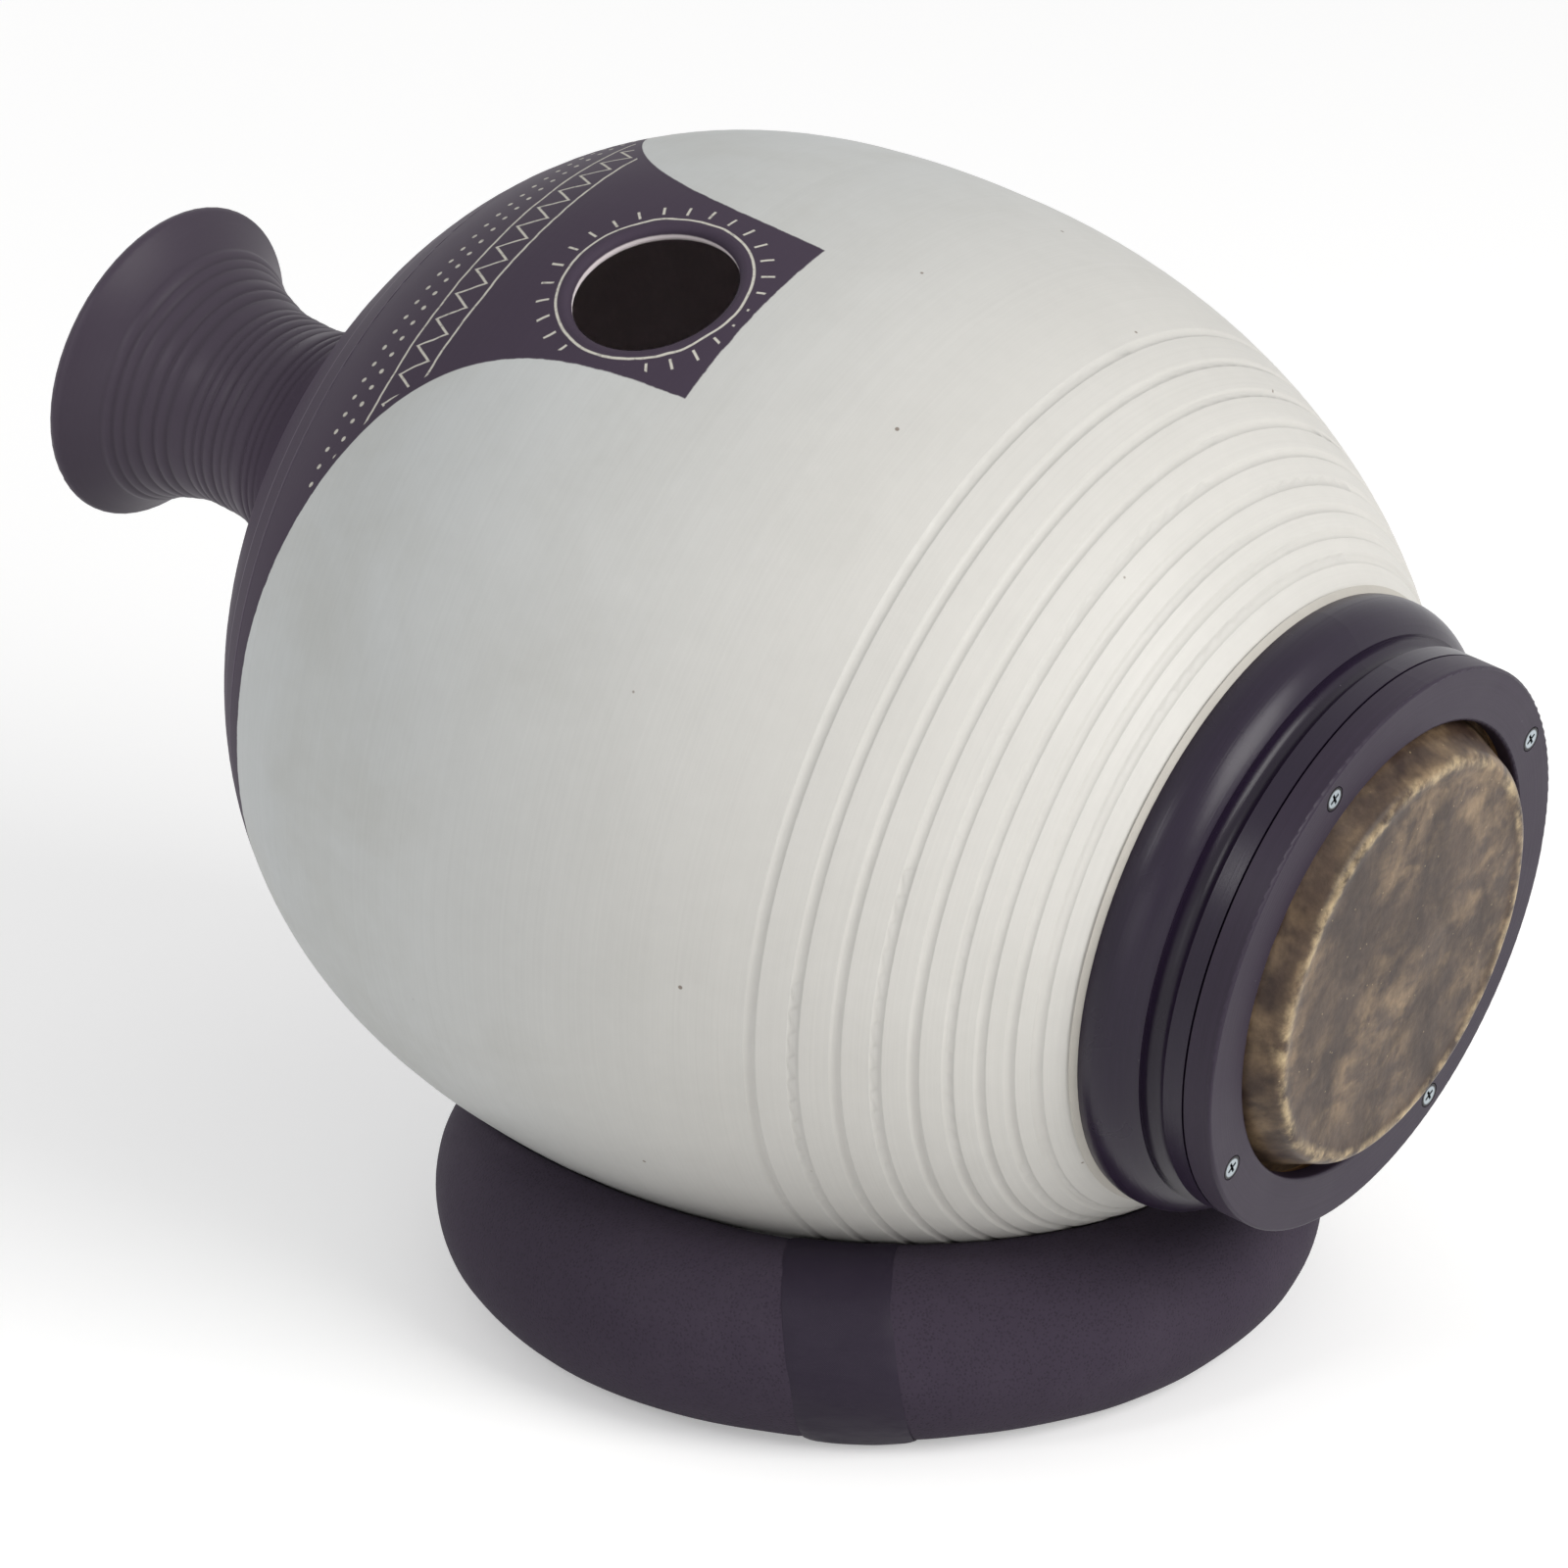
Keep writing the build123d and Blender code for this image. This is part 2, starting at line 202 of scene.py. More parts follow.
class Graph:
    """Node tree that is written in few words."""

    def __init__(self, tree: bpy.types.NodeTree) -> None:
        """Take a tree to add nodes to."""
        self.tree = tree

    def node(self, kind: str, **settings: object) -> bpy.types.Node:
        """Add a node and set its properties.

        Args:
            kind: Blender's name of the node type.
            settings: Properties of the node with their values.

        Returns:
            The new node.
        """
        made = self.tree.nodes.new(kind)
        for name, value in settings.items():
            setattr(made, name, value)
        return made

    def feed(self, source: Feed, target: Socket) -> None:
        """Link a socket to another, or set a plain value on it.

        Args:
            source: Socket or value.
            target: Socket that takes it.
        """
        if isinstance(source, bpy.types.NodeSocket):
            self.tree.links.new(source, target)
        else:
            target.default_value = source

    def fill(self, made: bpy.types.Node, *sources: Feed) -> Socket:
        """Feed a node's first inputs in their order.

        Args:
            made: Node that is fed.
            sources: Sockets or values, one for each input.

        Returns:
            The node's first output.
        """
        for source, target in zip(sources, made.inputs):
            self.feed(source, target)
        return made.outputs[0]

    def math(self, operation: str, *values: Feed) -> Socket:
        """One step of arithmetic on numbers."""
        return self.fill(self.node("ShaderNodeMath", operation=operation), *values)

    def chain(self, first: Feed, *steps: Tuple[str, Feed]) -> Socket:
        """Several steps of arithmetic, one after the other.

        Args:
            first: Number that the steps start from.
            steps: Operations, each with its second number.

        Returns:
            The last result.
        """
        value = first
        for operation, other in steps:
            value = self.math(operation, value, other)
        return value

    def product(self, first: Feed, *others: Feed) -> Socket:
        """Product of several numbers."""
        return self.chain(first, *[("MULTIPLY", other) for other in others])

    def hypot(self, first: Socket, second: Socket) -> Socket:
        """Length of a line from its two sides."""
        squares = [self.math("MULTIPLY", side, side) for side in (first, second)]
        return self.math("SQRT", self.math("ADD", *squares))

    def vector(self, operation: str, *values: Feed) -> Socket:
        """One step of arithmetic on vectors."""
        return self.fill(self.node("ShaderNodeVectorMath", operation=operation), *values)

    def part(self, place: Socket, way: Vector) -> Socket:
        """Part of a place along a way, in millimetres.

        Args:
            place: Vector in metres.
            way: Way of length 1.

        Returns:
            The number.
        """
        made = self.node("ShaderNodeVectorMath", operation="DOT_PRODUCT")
        self.fill(made, place, tuple(way))
        return self.math("MULTIPLY", made.outputs["Value"], 1 / MM)

    def combine(self, x: Feed, y: Feed, z: Feed) -> Socket:
        """Vector from three numbers."""
        return self.fill(self.node("ShaderNodeCombineXYZ"), x, y, z)

    def times(self, way: Vector, factor: Socket) -> Socket:
        """Fixed way that is made longer by a factor."""
        return self.combine(*[self.math("MULTIPLY", factor, part) for part in way])

    def step(self, value: Feed, low: Feed, high: Feed, first: Feed = 0.0, last: Feed = 1.0) -> Socket:
        """Smooth step of a value from low to high.

        Args:
            value: Number that is read.
            low: Value at which the step starts.
            high: Value at which it ends.
            first: Result below the step.
            last: Result above it.

        Returns:
            The result's socket.
        """
        made = self.node("ShaderNodeMapRange", interpolation_type="SMOOTHSTEP")
        return self.fill(made, value, low, high, first, last)

    def ramp(self, value: Feed, kind: Ramp) -> Socket:
        """Smooth step that is written as a ramp."""
        return self.step(value, kind.low, kind.high, kind.first, kind.last)

    def past(self, value: Feed, edge: float, blur: float) -> Socket:
        """Mask of the values above an edge."""
        return self.step(value, edge - blur, edge + blur)

    def before(self, value: Feed, edge: float, blur: float) -> Socket:
        """Mask of the values below an edge."""
        return self.step(value, edge - blur, edge + blur, 1.0, 0.0)

    def line(self, distance: Feed, half_width: float, blur: float) -> Socket:
        """Mask of a thin line, from the distance to its middle."""
        return self.before(self.math("ABSOLUTE", distance), half_width, blur)

    def noise(self, place: Feed, kind: Clouding) -> Socket:
        """Cloudy noise from 0 to 1.

        Args:
            place: Vector that it is read at.
            kind: Settings of the noise.

        Returns:
            The noise's socket.
        """
        made = self.node("ShaderNodeTexNoise")
        self.feed(self.vector("MULTIPLY", place, kind.stretch), made.inputs["Vector"])
        made.inputs["Scale"].default_value = kind.scale
        made.inputs["Detail"].default_value = kind.detail
        made.inputs["Roughness"].default_value = kind.rough
        made.inputs["Distortion"].default_value = kind.warp
        return made.outputs["Fac"]

    def sway(self, place: Feed, kind: Clouding, width: Feed) -> Socket:
        """Cloudy noise about zero, of a given width."""
        return self.chain(self.noise(place, kind), ("SUBTRACT", 0.5), ("MULTIPLY", width))

    def cells(self, place: Feed, scale: Feed) -> Sockets:
        """Outputs of a cell pattern.

        Args:
            place: Vector that it is read at.
            scale: Cells to a metre.

        Returns:
            The pattern's outputs by name.
        """
        made = self.node("ShaderNodeTexVoronoi")
        self.feed(place, made.inputs["Vector"])
        self.feed(scale, made.inputs["Scale"])
        return made.outputs

    def mix(self, share: Feed, first: Feed, second: Feed, blend: str = "MIX") -> Socket:
        """Mix of two colours.

        Args:
            share: Share of the second colour.
            first: First colour.
            second: Second colour.
            blend: Blender's name of the way to mix.

        Returns:
            The mixed colour.
        """
        made = self.node("ShaderNodeMix", data_type="RGBA", blend_type=blend)
        for source, index in ((share, 0), (first, 6), (second, 7)):
            self.feed(source, made.inputs[index])
        return made.outputs[2]

    def shade(self, colour: Feed, factor: Feed) -> Socket:
        """Colour made darker or lighter by a factor."""
        return self.mix(1.0, colour, self.combine(factor, factor, factor), "MULTIPLY")

    def bump(self, height: Feed, depth: float, normal: Optional[Socket] = None) -> Socket:
        """Normal of a surface with a height map.

        Args:
            height: Height from 0 to about 1.
            depth: Size of a height of 1, in metres.
            normal: Normal that the height stands on, if it isn't the mesh's own.

        Returns:
            The normal.
        """
        made = self.node("ShaderNodeBump")
        made.inputs["Strength"].default_value = 1.0
        made.inputs["Distance"].default_value = depth
        self.feed(height, made.inputs["Height"])
        if normal is not None:
            self.feed(normal, made.inputs["Normal"])
        return made.outputs[0]


class EffectGroup:
    """Shader node group that several materials use.

    takes names the inputs with their plain values, None for a vector. gives names the outputs
    that are numbers, and gives_vectors those that are vectors.
    """

    title: str = ""
    takes: Mapping[str, Optional[float]] = {}
    gives: Sequence[str] = ()
    gives_vectors: Sequence[str] = ()

    def tree(self) -> bpy.types.NodeTree:
        """Group's node tree, built at its first use."""
        found = bpy.data.node_groups.get(self.title)
        if found is not None:
            return found
        tree = bpy.data.node_groups.new(self.title, "ShaderNodeTree")
        for name, value in self.takes.items():
            kind = "NodeSocketVector" if value is None else "NodeSocketFloat"
            socket = tree.interface.new_socket(name, in_out="INPUT", socket_type=kind)
            if value is not None:
                socket.default_value = value
        for name in self.gives:
            tree.interface.new_socket(name, in_out="OUTPUT", socket_type="NodeSocketFloat")
        for name in self.gives_vectors:
            tree.interface.new_socket(name, in_out="OUTPUT", socket_type="NodeSocketVector")
        graph = Graph(tree)
        given = graph.node("NodeGroupInput").outputs
        target = graph.node("NodeGroupOutput")
        for name, value in self.work(graph, given).items():
            graph.feed(value, target.inputs[name])
        return tree

    def work(self, graph: Graph, given: Sockets) -> Dict[str, Socket]:
        """Build the inside of the group.

        Args:
            graph: Graph of the group's own tree.
            given: The group's inputs by name.

        Returns:
            The group's outputs by name.
        """
        raise NotImplementedError

    def use(self, graph: Graph, **values: Feed) -> Sockets:
        """Place the group in a material.

        Args:
            graph: Graph of the material.
            values: Feeds of the group's inputs by name.

        Returns:
            The group's outputs by name.
        """
        made = graph.node("ShaderNodeGroup", node_tree=self.tree())
        for name, value in values.items():
            graph.feed(value, made.inputs[name])
        return made.outputs


class AxisPlace(EffectGroup):
    """Station, radius and turn of a point about a turned axis, in millimetres and degrees."""

    takes = {"Place": None}
    gives = ("Station", "Radius", "Turn")

    def __init__(self, title: str, axis: TurnedAxis) -> None:
        """Name the group and take its axis."""
        self.title = title
        self.axis = axis

    def work(self, graph: Graph, given: Sockets) -> Dict[str, Socket]:
        """Measure the point along the axis's three ways; arguments as in EffectGroup."""
        local = graph.vector("SUBTRACT", given["Place"], tuple(self.axis.origin))
        ways = (self.axis.up, self.axis.side, self.axis.along)
        up, side, along = [graph.part(local, way) for way in ways]
        turn = graph.math("DEGREES", graph.math("ARCTAN2", side, up))
        return {"Station": along, "Radius": graph.hypot(up, side), "Turn": turn}


class FineGrain(EffectGroup):
    """Cloudy tone and fine tooth of a matt surface."""

    title = "fine_grain"
    takes = {"Place": None, "Clouds": 0.06}
    gives = ("Tone", "Height")

    broad = Clouding(14.0, 4.0, 0.55)
    small = Clouding(160.0, 3.0, 0.6)
    coarse_tooth = Clouding(700.0, 2.0, 0.6)
    fine_tooth = Clouding(2400.0, 1.0, 0.5)
    broad_share = 2.0
    fine_share = 0.5

    def work(self, graph: Graph, given: Sockets) -> Dict[str, Socket]:
        """Tone near 1, and a height from two sizes of grain; arguments as in EffectGroup."""
        place, width = given["Place"], given["Clouds"]
        broad = graph.math("MULTIPLY", graph.sway(place, self.broad, width), self.broad_share)
        tone = graph.chain(broad, ("ADD", graph.sway(place, self.small, width)), ("ADD", 1.0))
        fine = graph.math("MULTIPLY", graph.noise(place, self.fine_tooth), self.fine_share)
        return {"Tone": tone, "Height": graph.math("ADD", graph.noise(place, self.coarse_tooth), fine)}


class TurningLines(EffectGroup):
    """Fine lines that a tool leaves round a turned surface."""

    title = "turning_lines"
    takes = {"Along": 0.0, "Across": 0.0, "Turn": 0.0}
    gives = ("Height",)

    wide = Clouding(1.1, 2.0, 0.6)
    fine = Clouding(4.5, 1.0, 0.5)
    fine_share = 0.45
    turn_share = 0.012

    def work(self, graph: Graph, given: Sockets) -> Dict[str, Socket]:
        """Noise that changes fast across the lines and slowly along them; arguments as in EffectGroup."""
        turn = graph.math("MULTIPLY", given["Turn"], self.turn_share)
        place = graph.combine(given["Along"], given["Across"], turn)
        fine = graph.math("MULTIPLY", graph.noise(place, self.fine), self.fine_share)
        return {"Height": graph.math("ADD", graph.noise(place, self.wide), fine)}


class DustSpecks(EffectGroup):
    """Sparse small specks, as of dust or iron in clay."""

    title = "dust_specks"
    takes = {"Place": None, "Scale": 45.0, "Size": 0.03, "Share": 0.5}
    gives = ("Mask",)

    core = 0.6

    def work(self, graph: Graph, given: Sockets) -> Dict[str, Socket]:
        """Small spots at some of the cell middles; arguments as in EffectGroup."""
        cells = graph.cells(given["Place"], given["Scale"])
        core = graph.math("MULTIPLY", given["Size"], self.core)
        spot = graph.step(cells["Distance"], core, given["Size"], 1.0, 0.0)
        drawn = graph.fill(graph.node("ShaderNodeSeparateColor"), cells["Color"])
        chosen = graph.math("LESS_THAN", drawn, given["Share"])
        return {"Mask": graph.math("MULTIPLY", spot, chosen)}

    def cover(self, graph: Graph, place: Socket, kind: Specks) -> Socket:
        """Share that the specks take of a surface's colour.

        Args:
            graph: Graph of the material.
            place: Object coordinates.
            kind: Settings of the specks.

        Returns:
            The share.
        """
        mask = self.use(graph, Place=place, Scale=kind.scale, Size=kind.size, Share=kind.share)["Mask"]
        return graph.math("MULTIPLY", mask, kind.strength)


class SlipPlan(EffectGroup):
    """Plan of the painted slip: the dark cap with its tongue, and the raw clay inside."""

    title = "slip_plan"
    takes = {"Station": 0.0, "Radius": 0.0, "Turn": 0.0, "Ragged": 0.0}
    gives = ("Dark", "Inside", "Reach", "Depth")

    cap_station = -123.3
    tongue_end = 0.0
    tongue_turn = 23.0
    tongue_half_turn = 12.0
    shoulder_turn = 40.0
    shoulder_length = 25.0
    corner = 36.0
    blur = 0.3
    wall = 3.0
    wall_blur = 0.4

    def work(self, graph: Graph, given: Sockets) -> Dict[str, Socket]:
        """Masks of the slip and the inside, and the reach of the tongue; arguments as in EffectGroup."""
        station = graph.math("ADD", given["Station"], given["Ragged"])
        cap = graph.before(station, self.cap_station, self.blur)
        fall = graph.chain(station, ("SUBTRACT", self.cap_station), ("DIVIDE", -self.shoulder_length))
        shoulder = graph.math("MULTIPLY", graph.math("EXPONENT", fall), self.shoulder_turn)
        half = graph.math("ADD", shoulder, self.tongue_half_turn)
        away = graph.math("ABSOLUTE", graph.math("SUBTRACT", given["Turn"], self.tongue_turn))
        arc = graph.math("MULTIPLY", given["Radius"], math.pi / 180)
        reach = graph.math("MULTIPLY", graph.math("SUBTRACT", half, away), arc)
        ragged = graph.math("ADD", reach, given["Ragged"])
        from_cap = graph.math("SUBTRACT", self.cap_station, station)
        edge = graph.math("SMOOTH_MAX", ragged, from_cap, self.corner)
        end = graph.before(station, self.tongue_end, self.blur)
        tongue = graph.math("MULTIPLY", graph.past(edge, 0.0, self.blur), end)
        depth = self.depth(graph, given["Station"], given["Radius"])
        return {
            "Dark": graph.math("MAXIMUM", cap, tongue),
            "Inside": graph.past(depth, self.wall, self.wall_blur),
            "Reach": reach,
            "Depth": depth,
        }

    @staticmethod
    def depth(graph: Graph, station: Socket, radius: Socket) -> Socket:
        """Depth of a point under the belly's plain outline, in millimetres.

        Args:
            graph: Graph of the group.
            station: Station of the point on the drum's axis.
            radius: Its distance from the axis.

        Returns:
            The depth.
        """
        sides = []
        for length, power in ((-BELLY.neck_length, BELLY.neck_fullness), (BELLY.head_length, 2.0)):
            share = graph.chain(station, ("DIVIDE", length), ("MAXIMUM", 0.0), ("MINIMUM", 1.0))
            rest = graph.math("SUBTRACT", 1.0, graph.math("POWER", share, power))
            sides.append(graph.math("POWER", rest, 1 / power))
        return graph.math("SUBTRACT", graph.product(BELLY.radius, *sides), radius)


class GroovedTurning(EffectGroup):
    """Even normal of the turned belly on its head side, with the grooves, and a mask of the grooves."""

    title = "grooved_turning"
    takes = {"Place": None, "Station": 0.0, "Radius": 0.0, "Depth": 0.0}
    gives = ("Groove",)
    gives_vectors = ("Normal",)

    count = 9
    first_angle = 114.72
    last_angle = 140.33
    bow = 1.59
    rounds = 3
    wire = 2.6
    least_rise = 1.0
    half_width = 1.88
    edge_inside = 0.5
    edge_outside = 0.3
    start = 30.0
    blend = 20.0
    skin_depth = 2.0

    def offset(self, graph: Graph, station: Socket, radius: Socket) -> Socket:
        """Distance along the outline from the middle of the nearest groove, in millimetres.

        Args:
            graph: Graph of the group.
            station: Station of the point on the drum's axis.
            radius: Its distance from the axis.

        Returns:
            The distance, below zero on one side.
        """
        span = self.last_angle - self.first_angle
        lean = self.bow / span
        last = self.count - 1.0
        level = graph.chain(station, ("DIVIDE", -BELLY.head_length), ("MAXIMUM", -1.0))
        angle = graph.math("DEGREES", graph.math("ARCCOSINE", level))
        even = graph.chain(angle, ("SUBTRACT", self.first_angle), ("DIVIDE", span))
        share = even
        for _ in range(self.rounds):
            wave = graph.math("SINE", graph.math("MULTIPLY", share, math.pi))
            share = graph.math("SUBTRACT", even, graph.math("MULTIPLY", wave, lean))
        place = graph.math("MULTIPLY", share, last)
        near = graph.chain(graph.math("ROUND", place), ("MAXIMUM", 0.0), ("MINIMUM", last))
        wave = graph.math("COSINE", graph.math("MULTIPLY", share, math.pi))
        stretch = graph.chain(wave, ("MULTIPLY", lean * math.pi), ("ADD", 1.0))
        turned = graph.product(graph.math("SUBTRACT", place, near), stretch, math.radians(span) / last)
        ratio = BELLY.head_length / BELLY.radius
        across, along = graph.math("MULTIPLY", radius, ratio), graph.math("DIVIDE", station, ratio)
        return graph.math("MULTIPLY", turned, graph.hypot(across, along))

    def work(self, graph: Graph, given: Sockets) -> Dict[str, Socket]:
        """Ellipse's normal, tilted in a groove, and elsewhere the mesh's; arguments as in EffectGroup."""
        station, radius = given["Station"], given["Radius"]
        offset = self.offset(graph, station, radius)
        inside, outside = self.half_width - self.edge_inside, self.half_width + self.edge_outside
        groove = graph.step(graph.math("ABSOLUTE", offset), inside, outside, 1.0, 0.0)
        square = graph.math("SUBTRACT", self.wire ** 2, graph.math("MULTIPLY", offset, offset))
        rise = graph.math("SQRT", graph.math("MAXIMUM", square, self.least_rise))
        tilt = graph.math("MULTIPLY", graph.math("DIVIDE", offset, rise), groove)
        flatness = -(BELLY.radius / BELLY.head_length) ** 2
        slope = graph.chain(station, ("DIVIDE", radius), ("MULTIPLY", flatness))
        outward = graph.math("SUBTRACT", 1.0, graph.math("MULTIPLY", tilt, slope))
        onward = graph.chain(slope, ("ADD", tilt), ("MULTIPLY", -1.0))
        local = graph.vector("SUBTRACT", given["Place"], tuple(DRUM.origin))
        sideways = graph.vector("SUBTRACT", local, graph.times(DRUM.along * MM, station))
        radial = graph.vector("NORMALIZE", sideways)
        spread = graph.vector("MULTIPLY", radial, graph.combine(outward, outward, outward))
        leaning = graph.vector("ADD", spread, graph.times(DRUM.along, onward))
        shown = graph.math(
            "MULTIPLY",
            graph.step(station, self.start, self.start + self.blend),
            graph.math("LESS_THAN", given["Depth"], self.skin_depth),
        )
        normal = self.blended(graph, shown, graph.vector("NORMALIZE", leaning))
        return {"Groove": graph.math("MULTIPLY", groove, shown), "Normal": normal}

    @staticmethod
    def blended(graph: Graph, share: Socket, normal: Socket) -> Socket:
        """Normal in the drum's own frame, mixed with the one of the mesh.

        Args:
            graph: Graph of the group.
            share: Share of the given normal.
            normal: Normal in the object's frame.

        Returns:
            The mixed normal in the world's frame.
        """
        turn = graph.node(
            "ShaderNodeVectorTransform", vector_type="NORMAL", convert_from="OBJECT", convert_to="WORLD")
        world = graph.fill(turn, normal)
        own = graph.node("ShaderNodeNewGeometry").outputs["Normal"]
        mixed = graph.node("ShaderNodeMix", data_type="VECTOR")
        for source, index in ((share, 0), (own, 4), (world, 5)):
            graph.feed(source, mixed.inputs[index])
        return graph.vector("NORMALIZE", mixed.outputs[1])


class NeckRidges(EffectGroup):
    """Crowns of the neck's turned ridges, from 0 in a groove to 1, and a mask of the ridged length.

    waves holds the drift of the ridges from an even pitch, each wave as its height in millimetres,
    its rate along the neck and its start.
    """

    title = "neck_ridges"
    takes = {"Length": 0.0}
    gives = ("Crown", "Mask")

    first_groove = 33.0
    last_groove = 94.0
    pitch = 4.6
    fade = 4.0
    waves = ((0.9, 0.21, 0.0), (0.5, 0.47, 1.0))

    def wander(self, length: float) -> float:
        """Drift of the ridges at a length along the neck, in millimetres."""
        return sum(height * math.sin(length * rate + start) for height, rate, start in self.waves)

    def work(self, graph: Graph, given: Sockets) -> Dict[str, Socket]:
        """Follow the same wave as the sleeve's mesh; arguments as in EffectGroup."""
        length = given["Length"]
        drifted = length
        for height, rate, start in self.waves:
            wave = graph.math("SINE", graph.chain(length, ("MULTIPLY", rate), ("ADD", start)))
            drifted = graph.math("ADD", drifted, graph.math("MULTIPLY", wave, height))
        phase = graph.chain(drifted, ("SUBTRACT", self.first_groove), ("MULTIPLY", math.pi / self.pitch))
        crown = graph.math("ABSOLUTE", graph.math("SINE", phase))
        rise = graph.step(length, self.first_groove - self.fade, self.first_groove)
        fall = graph.step(length, self.last_groove, self.last_groove + self.fade, 1.0, 0.0)
        return {"Crown": crown, "Mask": graph.math("MULTIPLY", rise, fall)}


class ScratchedBands(EffectGroup):
    """Plain scratched pottery pattern on the dark slip: a rayed ring, a zigzag band and dots."""

    title = "scratched_bands"
    takes = {"Station": 0.0, "Radius": 0.0, "Turn": 0.0, "Reach": 0.0, "Wander": 0.0}
    gives = ("Mask",)

    hole_station = -35.9
    hole_turn = 23.9
    ring_radius = 30.6
    ray_count = 28
    ray_start = 32.8
    ray_end = 37.0
    ray_blur = 0.2
    rail_places = (-52.0, -66.0)
    zigzag_middle = -59.0
    zigzag_height = 8.4
    zigzag_pitch = 10.5
    zigzag_weight = 1.7
    dot_places = (-72.5, -78.0)
    dot_pitch = 6.0
    dot_radius = 0.85
    half_line = 0.42
    blur = 0.18
    margin = 4.0
    margin_blur = 0.3
    last_station = -2.4
    end_blur = 0.2
    clear_cells = 100.0

    def work(self, graph: Graph, given: Sockets) -> Dict[str, Socket]:
        """Lines in flat coordinates about the hole, across and along; arguments as in EffectGroup."""
        turned = graph.chain(given["Turn"], ("SUBTRACT", self.hole_turn), ("MULTIPLY", math.pi / 180))
        across = graph.chain(turned, ("MULTIPLY", given["Radius"]), ("ADD", given["Wander"]))
        along = graph.chain(given["Station"], ("SUBTRACT", self.hole_station), ("ADD", given["Wander"]))
        mask = graph.math("MAXIMUM", self.ring(graph, across, along), self.zigzag(graph, across, along))
        for place in self.rail_places:
            rail = graph.line(graph.math("SUBTRACT", along, place), self.half_line, self.blur)
            mask = graph.math("MAXIMUM", mask, rail)
        for row, place in enumerate(self.dot_places):
            dots = self.dots(graph, across, graph.math("SUBTRACT", along, place), row / 2)
            mask = graph.math("MAXIMUM", mask, dots)
        inner = graph.past(given["Reach"], self.margin, self.margin_blur)
        end = graph.before(given["Station"], self.last_station, self.end_blur)
        return {"Mask": graph.product(mask, inner, end)}

    def ring(self, graph: Graph, across: Socket, along: Socket) -> Socket:
        """Circle round the hole with short rays.

        Args:
            graph: Graph of the group.
            across: Distance from the hole's middle round the drum.
            along: Distance from it along the drum.

        Returns:
            The mask.
        """
        far = graph.hypot(across, along)
        circle = graph.line(graph.math("SUBTRACT", far, self.ring_radius), self.half_line, self.blur)
        turns = graph.math("MULTIPLY", graph.math("ARCTAN2", along, across), self.ray_count / math.tau)
        cell = graph.math("FRACT", graph.math("ADD", turns, self.clear_cells))
        off = graph.chain(cell, ("SUBTRACT", 0.5), ("MULTIPLY", math.tau / self.ray_count))
        ray = graph.line(graph.math("MULTIPLY", off, far), self.half_line, self.blur)
        begun = graph.past(far, self.ray_start, self.ray_blur)
        ended = graph.before(far, self.ray_end, self.ray_blur)
        return graph.math("MAXIMUM", circle, graph.product(ray, begun, ended))

    def zigzag(self, graph: Graph, across: Socket, along: Socket) -> Socket:
        """Zigzag between the two rails.

        Args:
            graph: Graph of the group.
            across: Distance from the hole's middle round the drum.
            along: Distance from it along the drum.

        Returns:
            The mask.
        """
        start = graph.math("ADD", across, self.clear_cells * self.zigzag_pitch)
        wave = graph.math("PINGPONG", start, self.zigzag_pitch / 2)
        steepness = 2 * self.zigzag_height / self.zigzag_pitch
        foot = self.zigzag_middle - self.zigzag_height / 2
        off = graph.math("SUBTRACT", along, graph.chain(wave, ("MULTIPLY", steepness), ("ADD", foot)))
        return graph.line(off, self.half_line * self.zigzag_weight, self.blur * self.zigzag_weight)

    def dots(self, graph: Graph, across: Socket, rise: Socket, shift: float) -> Socket:
        """Row of dots.

        Args:
            graph: Graph of the group.
            across: Distance from the hole's middle round the drum.
            rise: Distance from the row's middle line.
            shift: Shift of the row, in dots.

        Returns:
            The mask.
        """
        cell = graph.chain(across, ("DIVIDE", self.dot_pitch), ("ADD", self.clear_cells + shift))
        off = graph.chain(graph.math("FRACT", cell), ("SUBTRACT", 0.5), ("MULTIPLY", self.dot_pitch))
        return graph.before(graph.hypot(off, rise), self.dot_radius, self.blur)


DRUM_PLACE = AxisPlace("drum_place", DRUM)
NECK_PLACE = AxisPlace("neck_place", NECK)
FINE_GRAIN = FineGrain()
TURNING_LINES = TurningLines()
DUST_SPECKS = DustSpecks()
SLIP_PLAN = SlipPlan()
GROOVED_TURNING = GroovedTurning()
NECK_RIDGES = NeckRidges()
SCRATCHED_BANDS = ScratchedBands()


class Slot(Enum):
    """Material slots of the record."""

    CLAY = "fired_clay"
    SEALANT = "sealant"
    COLLAR = "black_collar"
    WOOD = "plain_wood"
    HIDE = "goat_skin"
    RING = "black_ring"
    STEEL = "zinc_steel"
    BRASS = "brass"
    FOAM = "foam"
    TAPE = "tape"


@dataclass(frozen=True)
class Finish:
    """Surface of one material, with the values that are the same all over it."""

    name: str
    roughness: float = 0.5
    metallic: float = 0.0
    specular: float = 0.5
    coat_roughness: float = 0.4

    def material(self) -> bpy.types.Material:
        """Build the material."""
        made = bpy.data.materials.new(self.name)
        made.use_nodes = True
        graph = Graph(made.node_tree)
        shader = made.node_tree.nodes["Principled BSDF"]
        plain = {
            "Roughness": self.roughness,
            "Metallic": self.metallic,
            "Specular IOR Level": self.specular,
            "Coat Roughness": self.coat_roughness,
        }
        changing = self.dress(graph, graph.node("ShaderNodeTexCoord").outputs["Object"])
        for values in (plain, changing):
            for name, value in values.items():
                graph.feed(value, shader.inputs[name])
        return made

    def dress(self, graph: Graph, place: Socket) -> Dict[str, Socket]:
        """Make what changes over the surface.

        Args:
            graph: Graph of the material.
            place: Object coordinates.

        Returns:
            Sockets by the names of the shader's inputs.
        """
        raise NotImplementedError


